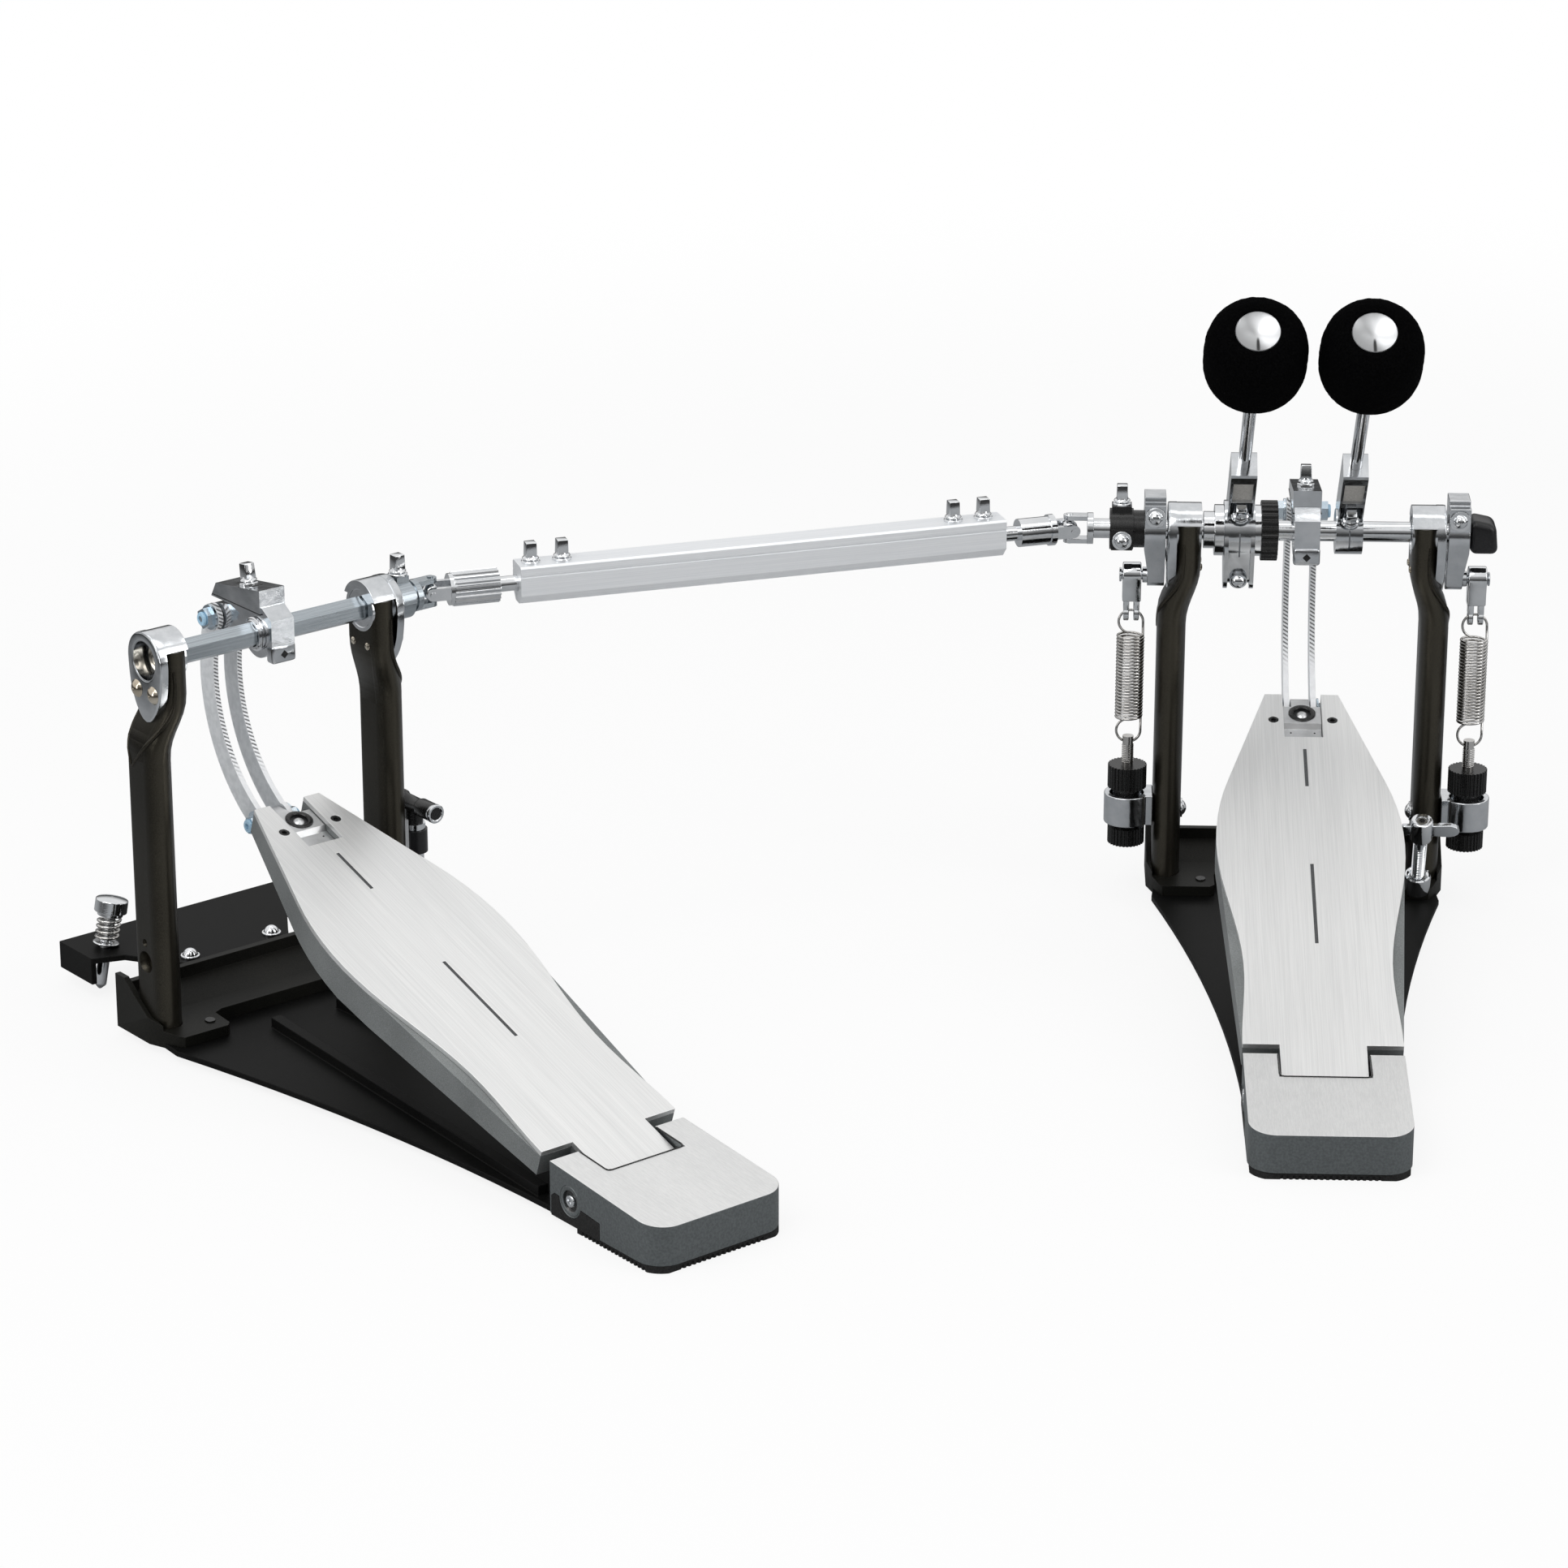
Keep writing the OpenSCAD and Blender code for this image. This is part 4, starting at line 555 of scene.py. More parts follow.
COATS = {
    "right_clamp_screws": painted(MAIN, (-20, 29, 190), (20, 45, 206), "zinc_blue"),
    "slave_cam": painted(SLAVE, (7.9, 29, 190), (20, 45, 206), "zinc_blue", both=True),
    "key_holder": painted(SLAVE, (77.2, -10, 60), (110, 20, 84), "black_plastic"),
    "drum_key": painted(SLAVE @ at(KEY_X, 4, 0), (-6, -6, 57), (6, 6, 80), "chrome"),
    "main_hinge_pin": painted(MAIN, (-40, -297, 5), (40, -281, 23), "satin_steel"),
    "slave_shaft": painted(SLAVE, (-66, -7.5, 191), (-59.9, 7.5, 207), "warm_steel"),
}
for pedal, world in PEDALS:
    COATS[pedal + "_toe_hinge"] = painted(world, (7.9, -5, 93), (20, 10, 109), "zinc_blue", both=True)
    COATS[pedal + "_screws"] = painted(world, (45, -14, 11), (52, -8, 14.5), "black_metal", both=True)
    COATS[pedal + "_tread_plate"] = [
        coat for low, high in ((95.5, 156.5), (216.5, 247.5))
        for coat in painted(world @ BOARD, (-0.95, low, -0.5), (0.95, high, -0.02), "engraved")]
COATS["slave_screws"] += painted(SLAVE, (-74, -13, 178), (-69.9, 13, 189), "warm_steel")
for side, flip in SIDES:
    COATS[side + "_beater_hub"] = painted(HUB[side], *WINDOW, "raw_zinc")
    rod = MAIN @ flip @ at(SPRING_X, 0, 0)
    COATS[side + "_tension_rod"] = painted(rod, (-3, -3, 72), (3, 3, 100), "spring_wire")
print("coats on", len(COATS), "nodes")

# %% Soften the nodes
ROUNDS = {
    "main_posts": 0.5, "slave_posts": 0.5, "main_housings": 0.9, "slave_housings": 0.9,
    "main_crossbar": 0.8, "slave_crossbar": 0.8, "main_base_plate": 0.5, "slave_base_plate": 0.5,
    "main_heel_block": 0.7, "slave_heel_block": 0.7, "main_footboard": 0.7, "slave_footboard": 0.7,
    "main_tread_plate": 0.3, "slave_tread_plate": 0.3, "main_toe_hinge": 0.4, "slave_toe_hinge": 0.4,
    "main_link_plates": 0.3, "slave_link_plates": 0.3, "main_cam": 0.7, "slave_cam": 0.6,
    "right_beater_hub": 0.7, "left_beater_hub": 0.7, "right_spring_cam": 1.3, "left_spring_cam": 1.3,
    "left_collar": 0.6, "left_axle": 0.3, "spring_brackets": 0.6, "right_tension_rod": 0.25,
    "left_tension_rod": 0.25, "link_tube": 0.5, "main_link_fork": 0.35, "slave_link_fork": 0.25,
    "right_clamp_screws": 0.3, "left_clamp_screws": 0.3, "main_screws": 0.25, "slave_screws": 0.25,
    "slave_shaft": 0.25, "stabiliser_plate": 0.5, "spur_bolt": 0.5, "key_holder": 0.5, "drum_key": 0.3,
    "hoop_jaw": 0.6, "left_lock_ring": 0.25, "main_hinge_pin": 0.3, "slave_hinge_pin": 0.3, "main_shaft": 0.3,
}
for name, width in ROUNDS.items():
    soften(name, width, COATS.get(name, ()), LEFT_OUT.get(name, ()))
print("softened", len(ROUNDS))

# %% [markdown]
# ## Small helpers for new pieces
# Turned pieces come from one outline that is spun round its axis, the way a
# lathe makes them. A finished shape is drawn in millimetres, so one function
# moves it to its place and gives it a finish, and another also seats it on
# its body and hides the nodes it stands for.

# %% Helpers for new pieces
def lathe(outline, steps=48):
    """Spins an outline of (radius, height) pairs round Z into a closed shape."""
    mesh = bmesh.new()
    line = [mesh.verts.new((r, 0, z)) for r, z in outline]
    edges = [mesh.edges.new(pair) for pair in zip(line, line[1:])]
    bmesh.ops.spin(mesh, geom=line + edges, axis=(0, 0, 1), cent=(0, 0, 0),
                   angle=2 * math.pi, steps=steps, use_merge=True)
    bmesh.ops.remove_doubles(mesh, verts=mesh.verts, dist=1e-4)
    bmesh.ops.recalc_face_normals(mesh, faces=mesh.faces)
    return mesh

def settle(mesh, name, place, coat, crease=40):
    """Makes a shape drawn in millimetres an object at its place."""
    bmesh.ops.transform(mesh, matrix=place, verts=mesh.verts)
    if place.determinant() < 0:
        bmesh.ops.reverse_faces(mesh, faces=mesh.faces)
    for face in mesh.faces:
        face.smooth = True
    for edge in mesh.edges:
        edge.smooth = edge.calc_face_angle(0) < math.radians(crease)
    data = bpy.data.meshes.new(name)
    mesh.to_mesh(data)
    mesh.free()
    piece = bpy.data.objects.new(name, data)
    bpy.context.scene.collection.objects.link(piece)
    dress(piece, FINISHES[coat])
    return piece

def seat(piece, body, slot_name, *replaced):
    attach(piece, body)
    if replaced:
        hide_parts(*replaced)
    return piece

def add(mesh, name, place, coat, body, slot_name, *replaced, crease=40):
    """Settles a shape and seats it on its body."""
    return seat(settle(mesh, name, place, coat, crease), body, slot_name, *replaced)

def smooth_line(line, parts=4):
    """More points on an outline, on a smooth curve through the given ones."""
    points = [Vector((*p, 0)) for p in line]
    ends = [points[0]] + points + [points[-1]]
    made = []
    for before, start, stop, after in zip(ends, ends[1:], ends[2:], ends[3:]):
        slow = 2 * before - 5 * start + 4 * stop - after
        fast = 3 * start - before - 3 * stop + after
        for t in (k / parts for k in range(parts)):
            bend = slow * t * t + fast * t ** 3
            made.append(start + ((stop - before) * t + bend) / 2)
    made.append(points[-1])
    return [(max(p.x, 0), p.y) for p in made]

# %% [markdown]
# ## Beaters
# A beater head is moulded felt with a flocked skin: a short barrel, widest
# near its middle, with a big round at both ends. It is spun from one outline,
# and each point is then pushed in or out by a fraction of a millimetre, as a
# pile is never quite even. The rod ends in a shallow polished cone in a
# pocket at the head's end. Rod and cone are spun apart, because the cone has
# a finish of its own.

# %% Beaters
FELT_LINE = [(3.3, 143.0), (9, 142.3), (15.2, 142.8), (20.0, 144.8), (23.3, 148.6), (24.9, 154.0),
             (25.2, 160.0), (25.2, 166.0), (25.0, 171.5), (24.2, 177.0), (22.3, 181.8), (19.1, 185.6),
             (15.3, 187.8), (12.5, 188.3), (11.4, 188.0), (11.05, 187.0), (11.0, 185.5), (11.0, 183.6),
             (3.3, 183.6)]
FELT_MIDDLE, FELT_RIM = 166, 187
ROD_LINE = [(0, 26), (2.7, 26), (3.2, 26.5), (3.2, 184.3), (0, 184.3)]
DISC_LINE = [(0, 184.1), (10.5, 184.1), (10.9, 184.7), (10.9, 187.2), (10.6, 187.5), (10.2, 187.2),
             (6.5, 185.9), (2.6, 184.8), (0, 184.55)]

def felt_head():
    mesh = lathe(smooth_line(FELT_LINE), 150)
    for vert in mesh.verts:
        if vert.co.z < FELT_RIM:
            out = Vector((vert.co.x, vert.co.y, vert.co.z - FELT_MIDDLE)).normalized()
            vert.co += out * (0.22 * grain.noise(vert.co * 0.35) + 0.12 * grain.noise(vert.co * 1.1) - 0.15)
    return mesh

for side, place in BEATER.items():
    body, rod_node = side + "_beater", side + "_beater_rod"
    head = add(felt_head(), side + "_felt", place, "felt", body, "felt", side + "_beater_head", crease=80)
    add(lathe(ROD_LINE, 64), side + "_rod", place, "chrome", body, "chrome", rod_node, crease=25)
    add(lathe(DISC_LINE, 96), side + "_disc", place, "disc", body, "chrome", rod_node, crease=25)
print("beaters", len(head.data.polygons), "faces a head")

# %% [markdown]
# ## Springs
# A return spring is one wire: a hook, 26 curls and another hook. A curve
# follows the wire's middle and gets a round section, which is how a coiling
# machine sees it too. Its upper hook hangs on the swing link and its lower
# one in the tension rod's eye, and the coil between them stretches when the
# pedal is pressed. Here the wire is made once, in its resting place.

# %% Springs
def wire(name, points, radius, place, coat, swell=None):
    curve = bpy.data.curves.new(name, "CURVE")
    curve.dimensions = "3D"
    curve.twist_mode = "MINIMUM"
    curve.bevel_depth = radius
    curve.bevel_resolution = 3
    curve.use_fill_caps = True
    line = curve.splines.new("POLY")
    line.points.add(len(points) - 1)
    for point, spot in zip(line.points, points):
        point.co = (*spot, 1)
    if swell:
        line.points.foreach_set("radius", swell)
    shape = bpy.data.objects.new(name + "_line", curve)
    bpy.context.scene.collection.objects.link(shape)
    bpy.context.view_layer.update()
    data = bpy.data.meshes.new_from_object(shape.evaluated_get(bpy.context.evaluated_depsgraph_get()))
    bpy.data.objects.remove(shape)
    mesh = bmesh.new()
    mesh.from_mesh(data)
    bmesh.ops.remove_doubles(mesh, verts=mesh.verts, dist=1e-5)
    bmesh.ops.recalc_face_normals(mesh, faces=mesh.faces)
    return settle(mesh, name, place, coat, 60)

def arc(radius, middle, start, stop, count=30):
    angles = [math.radians(start + (stop - start) * k / count) for k in range(count + 1)]
    return [(radius * math.cos(a), 0, middle + radius * math.sin(a)) for a in angles]

def helix(radius, low, high, turns, per_turn=20):
    count = round(turns * per_turn)
    steps = [(k / count, 2 * math.pi * turns * k / count) for k in range(1, count)]
    return [(radius * math.cos(a), radius * math.sin(a), low + (high - low) * t) for t, a in steps]

COIL_LOW, COIL_HIGH, COIL_R, CURLS = 97, 142.5, 6.575, 26
HOOK_R, HOOK_GAP, SPRING_WIRE_R = 6.2, 0.6, 0.66
spring_line = (arc(HOOK_R, COIL_LOW - HOOK_R - HOOK_GAP, 100, 360)
               + helix(COIL_R, COIL_LOW, COIL_HIGH, CURLS)
               + arc(HOOK_R, COIL_HIGH + HOOK_R + HOOK_GAP, 0, 260))
for side, x in (("right", SPRING_X), ("left", -SPRING_X)):
    spring = wire(side + "_wound_spring", spring_line, SPRING_WIRE_R, MAIN @ at(x, 0, 0), "spring_wire")
    side + "_swing"
    side + "_coil"
    x * MM
    x * MM
    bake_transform(spring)
    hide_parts(side + "_spring")

SPUR_LEAN = math.radians(12)
SPUR = SLAVE @ at(-54, 82, 0) @ about("Y", SPUR_LEAN) @ at(0, 0, 22 / math.cos(SPUR_LEAN) + 1.4)
short = wire("spur_wound_spring", helix(5.4, 2.05, 13.25, 4, 28), 0.8, SPUR, "spring_wire")
seat(short, "spur", "steel", "spur_spring")
print("springs", len(spring.data.polygons), "faces each")

# %% [markdown]
# ## Key screws
# Every clamp on the pedal is tightened with the same square-headed screw: a
# washer, a turned collar and a slightly tapered square head for the drum key.
# The round part is spun, and the head is a cube whose top is narrowed and whose
# edges are bevelled. One function makes it, and the table of places
# that left the plain ones out says where the new ones stand.

# %% Key screws
SCREW_LINE = [(0, 0.05), (4.75, 0.05), (4.75, 0.8), (4.4, 1.2), (3.1, 1.25), (3.0, 1.75), (4.0, 1.9),
              (4.2, 2.2), (4.0, 2.6), (3.2, 3.1), (2.9, 3.9), (0, 3.9)]
SQUARE, SQUARE_MIDDLE, SQUARE_TAPER = (5.7, 5.7, 7.5), 6.7, 0.93

def round_edges(mesh, edges, offset, segments):
    bmesh.ops.bevel(mesh, geom=edges, offset=offset, segments=segments, profile=0.5,
                    affect="EDGES", material=-1)

def block(mesh, size, middle, turn=0.0):
    verts = bmesh.ops.create_cube(mesh, size=1)["verts"]
    bmesh.ops.scale(mesh, vec=size, verts=verts)
    bmesh.ops.rotate(mesh, matrix=Matrix.Rotation(turn, 3, "Y"), verts=verts)
    bmesh.ops.translate(mesh, vec=middle, verts=verts)
    return verts

def key_screw():
    mesh = lathe(SCREW_LINE, 40)
    head = block(mesh, SQUARE, (0, 0, SQUARE_MIDDLE))
    top = [v for v in head if v.co.z > SQUARE_MIDDLE]
    bmesh.ops.scale(mesh, vec=(SQUARE_TAPER, SQUARE_TAPER, 1), verts=top)
    round_edges(mesh, [e for e in mesh.edges if e.verts[0] in head and e.verts[1] in head], 0.35, 3)
    return mesh

stands = [(name, place) for name, places in SCREWS.items() for place in places]
for k, (name, place) in enumerate(stands, 1):
    add(key_screw(), "key_screw_%02d" % k, place, "chrome", body_of[name], "chrome", name, crease=30)
print("key screws", len(stands))

# %% [markdown]
# ## Small turned pieces
# The details that tell a real pedal from a toy are small turned rings: the
# black bearing in the toe hinge with a black disc in its well as painted shade,
# the black socket screws of the tread plate and four black dots between them
# as painted shade for four pits, the pale blue nylon in the lock nuts, and the
# chrome ring at the end of the drum key's handle. Each is one outline on the
# lathe.

# %% Small turned pieces
BEARING_LINE = [(4.3, -4.4), (4.3, -2.9), (4.7, -2.5), (6.2, -2.45), (6.8, -2.8), (6.85, -4.4), (4.3, -4.4)]
# a black disc on the well's floor: painted shade for its hollow
WELL_SHADE_LINE = [(0, -4.2), (4.5, -4.2), (4.5, -3.86), (0, -3.86)]
SOCKET_LINE = [(0, -1.75), (2.55, -1.75), (2.55, -0.5), (2.2, -0.12), (1.45, -0.1), (1.25, -0.35),
               (1.2, -1.3), (0, -1.3)]
# black dots for the four pits: painted shade for their hollows
PIT_SHADE_LINE = [(0, -5.6), (0.5, -5.6), (0.5, -5.46), (0, -5.46)]
NYLON_LINE = [(1.6, 0), (3.3, 0), (3.5, 0.3), (3.4, 1.0), (3.0, 1.4), (1.6, 1.5), (1.6, 0)]
KEY_RING_LINE = [(3.2, 37.2), (3.2, 38.2), (3.6, 38.6), (4.4, 38.6), (4.85, 38.2), (4.85, 36.4),
                 (4.6, 36.1), (4.3, 37.2), (3.2, 37.2)]
BEARING_AT, TREAD_SCREWS_AT = (0, 280), ((-14.9, 271), (14.9, 271))
PITS_AT = ((-6, 259.5), (6, 259.5), (-6, 267), (6, 267))
ON_BOARD = [("bearing_ring", BEARING_LINE, 48, BEARING_AT, "black_metal"),
            ("bearing_well", WELL_SHADE_LINE, 48, BEARING_AT, "black_plastic")]
for tag, outline, steps, spots in (("tread_screw_%d", SOCKET_LINE, 32, TREAD_SCREWS_AT),
                                   ("hinge_pit_%d", PIT_SHADE_LINE, 12, PITS_AT)):
    ON_BOARD += [(tag % k, outline, steps, spot, "black_metal") for k, spot in enumerate(spots)]
for pedal, world in PEDALS:
    for tag, outline, steps, (x, y), coat in ON_BOARD:
        add(lathe(outline, steps), "%s_%s" % (pedal, tag), world @ BOARD @ at(x, y, 0), coat,
            pedal + "_board", "black_metal")
    for sign, hand in ((1, "r"), (-1, "l")):
        out = about("Y", sign * QUARTER)
        for kind, body, y, z in (("cam", CAM_BODY[pedal], 37, 198), ("toe", pedal + "_board", 2.5, 101)):
            add(lathe(NYLON_LINE, 32), "%s_%s_nylon_%s" % (pedal, kind, hand),
                world @ at(sign * 13.1, y, z) @ out, "blue_nylon", body, "chrome")
add(lathe(KEY_RING_LINE, 40), "key_end_ring", SLAVE @ at(KEY_X, 23, 89) @ about("X", QUARTER), "chrome",
    "key", "chrome")
print("turned pieces on each board", len(ON_BOARD))

# %% [markdown]
# ## Threads
# The upper end of each tension rod shows its thread above the black nut. A
# thread is a small triangle that is spun round the rod while it climbs, which
# the spin operator does with a step along the axis.

# %% Threads
def thread(radius, depth, low, turns, pitch, per_turn=20):
    mesh = bmesh.new()
    root = radius - 0.3
    corners = ((root, 0, 0), (radius + depth, 0, pitch * 0.5), (root, 0, pitch * 0.98))
    face = mesh.faces.new([mesh.verts.new(p) for p in corners])
    bmesh.ops.translate(mesh, vec=(0, 0, low), verts=mesh.verts)
    bmesh.ops.spin(mesh, geom=[face], axis=(0, 0, 1), cent=(0, 0, 0), dvec=(0, 0, pitch / per_turn),
                   angle=2 * math.pi * turns, steps=turns * per_turn, use_merge=False)
    bmesh.ops.remove_doubles(mesh, verts=mesh.verts, dist=1e-4)
    bmesh.ops.recalc_face_normals(mesh, faces=mesh.faces)
    return mesh

for side, x in (("right", SPRING_X), ("left", -SPRING_X)):
    screw = add(thread(2.85, 0.28, 72.2, 10, 1.0), side + "_rod_thread", MAIN @ at(x, 0, 0), "spring_wire",
                side + "_tension", "black_metal", crease=80)
print("threads", len(screw.data.polygons), "faces each")

# %% [markdown]
# ## Lips of the cams
# Under each cam's clamp a rounded lip stands forward, with a small square
# socket on its corner that takes a grub screw. The lip is a bevelled cube, and
# the socket's hollow is painted shade: a dark square, turned by an eighth, that
# sits just proud of it. The slave's lip stands a little higher than the main
# one's.

# %% Lips of the cams
LIP_RISE = {"main": 0.8, "slave": 2.6}

def rounded_block(size, middle, offset, turn=0.0):
    mesh = bmesh.new()
    block(mesh, size, middle, turn)
    round_edges(mesh, mesh.edges[:], offset, 4)
    return mesh

for pedal, world in PEDALS:
    lip = rounded_block((13.6, 6, 9.0), (0, -10.8, 188.4 + LIP_RISE[pedal]), 1.5)
    # a dark square for the socket's hollow: painted shade
    socket_shade = rounded_block((3.0, 0.5, 3.0), (0, -13.75, 188.2 + LIP_RISE[pedal]), 0.12, QUARTER / 2)
    add(lip, pedal + "_cam_lip", world, "nickel", CAM_BODY[pedal], "nickel")
    add(socket_shade, pedal + "_lip_socket", world, "black_metal", CAM_BODY[pedal], "nickel")
print("cam lips", len(LIP_RISE))

# %% [markdown]
# ## Shapes cut from a slab
# Links, levers and covers are sawn or pressed from a slab: one outline, one
# thickness, and a small round on every edge. The outline is drawn in (y, z),
# the extrude operator gives it its thickness along x, and bevel rounds it.

# %% Slab
def slab(outline, low, high, offset):
    mesh = bmesh.new()
    face = mesh.faces.new([mesh.verts.new((low, y, z)) for y, z in outline])
    grown = bmesh.ops.extrude_face_region(mesh, geom=[face])["geom"]
    far = [g for g in grown if isinstance(g, bmesh.types.BMVert)]
    bmesh.ops.translate(mesh, vec=(high - low, 0, 0), verts=far)
    bmesh.ops.recalc_face_normals(mesh, faces=mesh.faces)
    round_edges(mesh, [e for e in mesh.edges if e.calc_face_angle(0) > math.radians(35)], offset, 3)
    return mesh

# %% [markdown]
# ## Housings' faces and the uprights' ridges
# Each shaft housing ends in a polished face like a drop: round above, drawn
# to a point below, with a wide soft edge and the bearing's bore. The upright
# grows round it and closes under it in a slanting ridge. The face is two
# loops, a drop and a circle, bridged front and back. The ridge is a tapered
# wire that is dropped onto the upright's real surface, so it follows its bend.

# %% Housing faces
DROP = [(0, 14.2), (5.5, 13.1), (10, 10.1), (13.1, 5.5), (14.2, 0), (14.1, -5), (13.4, -11), (12.3, -16),
        (9.6, -22.5), (6.2, -27.5), (3.2, -30.2), (0, -31.2)]
FACE_X, FACE_BORE = (65.6, 70.15), 9.55

def drop_face():
    half = smooth_line(DROP, 3)
    spots = half + [(-y, z) for y, z in half[-2:0:-1]]
    turns = [math.atan2(y, z) for y, z in spots]
    rings = (spots, [(FACE_BORE * math.sin(a), FACE_BORE * math.cos(a)) for a in turns])
    mesh = bmesh.new()
    loops = []
    for x in FACE_X:
        verts = [[mesh.verts.new((x, y, z)) for y, z in ring] for ring in rings]
        loops.append([[mesh.edges.new(pair) for pair in zip(ring, ring[1:] + ring[:1])] for ring in verts])
    (back_outer, back_inner), (front_outer, front_inner) = loops
    for one, other in ((back_outer, back_inner), (front_outer, front_inner),
                       (back_outer, front_outer), (back_inner, front_inner)):
        bmesh.ops.bridge_loops(mesh, edges=one + other)
    bmesh.ops.recalc_face_normals(mesh, faces=mesh.faces)
    round_edges(mesh, front_outer + front_inner, 1.1, 4)
    return mesh

# %% Ridges on the uprights
RIDGES = ([(-13.3, -4), (-13.4, -14), (-12.4, -24), (-9, -33), (-3.5, -41), (3, -48), (8.6, -54.5)],
          [(12.9, -15), (14.0, -24), (14.2, -33), (13.0, -43), (8.6, -54.5)])
RIDGE_R, RIDGE_SUNK = 1.15, 0.25
ASIDE = 50  # smooth_line keeps to one side of 0, so a ridge is moved aside and back
uprights = nodes["main_posts"].data
surface = BVHTree.FromPolygons([v.co / MM for v in uprights.vertices],
                               [f.vertices[:] for f in uprights.polygons])

def dropped(spots):
    """Points on the right upright's outer face, straight beside the given (y, z) spots."""
    made = []
    for y, z in smooth_line([(y + ASIDE, z) for y, z in spots]):
        hit = surface.ray_cast(Vector((120, y - ASIDE, SHAFT_Z + z)), Vector((-1, 0, 0)))[0]
        if hit:
            made.append((hit.x - RIDGE_SUNK, hit.y, hit.z))
    return made

def tapered(count):
    """How thick a ridge is at each of its points: full in the middle, thin at its ends."""
    return [0.35 + 0.65 * math.sin(math.pi * (0.12 + 0.76 * i / (count - 1))) for i in range(count)]

# %% Seat the faces, ridges and inner rivets
RIVET_LINE = [(0, 1.0), (1.2, 0.85), (1.9, 0.3), (2.0, -0.6), (0, -0.6)]
for pedal, world in PEDALS:
    body = pedal + "_frame"
    for side, flip in SIDES:
        tag = "%s_%s" % (pedal, side)
        add(drop_face(), tag + "_housing_face", world @ flip @ SHAFT, "nickel", body, "nickel")
        for k, ridge in enumerate(RIDGES):
            line = dropped(ridge)
            raised = wire("%s_ridge_%d" % (tag, k), line, RIDGE_R, world @ flip, "bronze", tapered(len(line)))
            seat(raised, body, "posts")
        for k, y in enumerate((-6, 6)):
            add(lathe(RIVET_LINE, 20), "%s_inner_rivet_%d" % (tag, k),
                world @ flip @ at(53.1, y, 181) @ about("Y", -QUARTER), "warm_steel", body, "nickel")
print("ridge points", len(line))

# %% [markdown]
# ## Swing links
# A swing link hangs on the lever's pin and carries the spring's hook. On the
# real pedal it is a solid chromed clevis: a head that wraps round the pin, a
# short neck and two prongs that end in eyes. The head and the prongs are
# slabs, and each eye is a turned ring, so the hook really passes through it.

# %% Swing links
PIVOT_Z = SHAFT_Z - 24.5
HEAD_R = 6.2
HEAD_LINE = [(HEAD_R * math.cos(math.radians(a)), 0.4 + HEAD_R * math.sin(math.radians(a)))
             for a in range(-30, 211, 16)] + [(-4.4, -6.5), (-3.9, -13.5), (3.9, -13.5), (4.4, -6.5)]
PRONG_LINE = [(-3.4, -12), (-3.1, -18.6), (3.1, -18.6), (3.4, -12)]
PRONG_HALF = 1.5
EYE_LINE = [(2.0, -1.1), (2.3, -1.35), (3.5, -1.35), (3.9, -1.0), (3.9, 1.0), (3.5, 1.35), (2.3, 1.35),
            (2.0, 1.1), (2.0, -1.1)]
for side, flip in SIDES:
    hang = MAIN @ flip @ at(SPRING_X, 0, PIVOT_Z)
    shapes = [("head", slab(HEAD_LINE, -4.7, 4.7, 0.7), IN_PLACE)]
    for k, x in enumerate((-2.6, 2.6)):
        shapes.append(("prong_%d" % k, slab(PRONG_LINE, x - PRONG_HALF, x + PRONG_HALF, 0.4), IN_PLACE))
        shapes.append(("eye_%d" % k, lathe(EYE_LINE, 36), at(x, 0, -20.6) @ about("Y", QUARTER)))
    for tag, mesh, place in shapes:
        add(mesh, "%s_swing_%s" % (side, tag), hang @ place, "chrome",
            side + "_swing", "chrome", side + "_swing_link")
print("swing links of", len(shapes), "shapes each")

# %% [markdown]
# ## Cam carriage and its rings
# The beater angle is set by a carriage on each cam's back. A thin shadow line
# parts it from the cam, and its screw slides in a slot whose shade is painted
# as a thin dark plate. On the slave the cam is held along the six-sided shaft
# by a stepped ring at each side, and a black seal stands before the left
# bearing.

# %% Cam carriage and rings
CARRIAGE_LINE = [(-4.85, 10.4), (-4.85, 10.95), (37.0, 10.95), (37.3, 10.4)]
CARRIAGE_HALF = 7.38
RING_LINE = [(6.0, 6.6), (8.2, 6.6), (8.4, 6.9), (8.4, 7.9), (8.1, 8.2), (7.3, 8.3), (7.3, 9.2),
             (7.0, 9.5), (6.0, 9.5), (6.0, 6.6)]
SEAL_LINE = [(7.3, 59.4), (9.45, 59.4), (9.45, 61.4), (7.3, 61.4), (7.3, 59.4)]
for pedal, world in PEDALS:
    add(slab(CARRIAGE_LINE, -CARRIAGE_HALF, CARRIAGE_HALF, 0.1), pedal + "_carriage_line", world @ SHAFT,
        "black_metal", CAM_BODY[pedal], "black_metal")
    # a thin dark plate for the slot: painted shade
    add(rounded_block((5.8, 15.5, 0.5), (0, 0, 0), 0.2), pedal + "_carriage_slot_shade", world @ CAM_SCREW,
        "black_metal", CAM_BODY[pedal], "black_metal")
add(lathe(SEAL_LINE), "slave_bearing_seal", SLAVE @ SHAFT @ about("Y", -QUARTER), "black_metal",
    "slave_frame", "black_metal")
for sign, hand in ((1, "r"), (-1, "l")):
    add(lathe(RING_LINE), "slave_cam_ring_" + hand, SLAVE @ SHAFT @ about("Y", sign * QUARTER), "chrome",
        "slave_axle", "chrome")
print("cam carriages done")

# %% [markdown]
# ## Clamp bolt and end cap
# The hoop clamp is worked by a bolt with a thick round head, a flat wing and
# a coarse thread that runs down into a chrome cup. The shaft's right end has
# a black moulded cap, a rounded block that slopes away at its outer end.

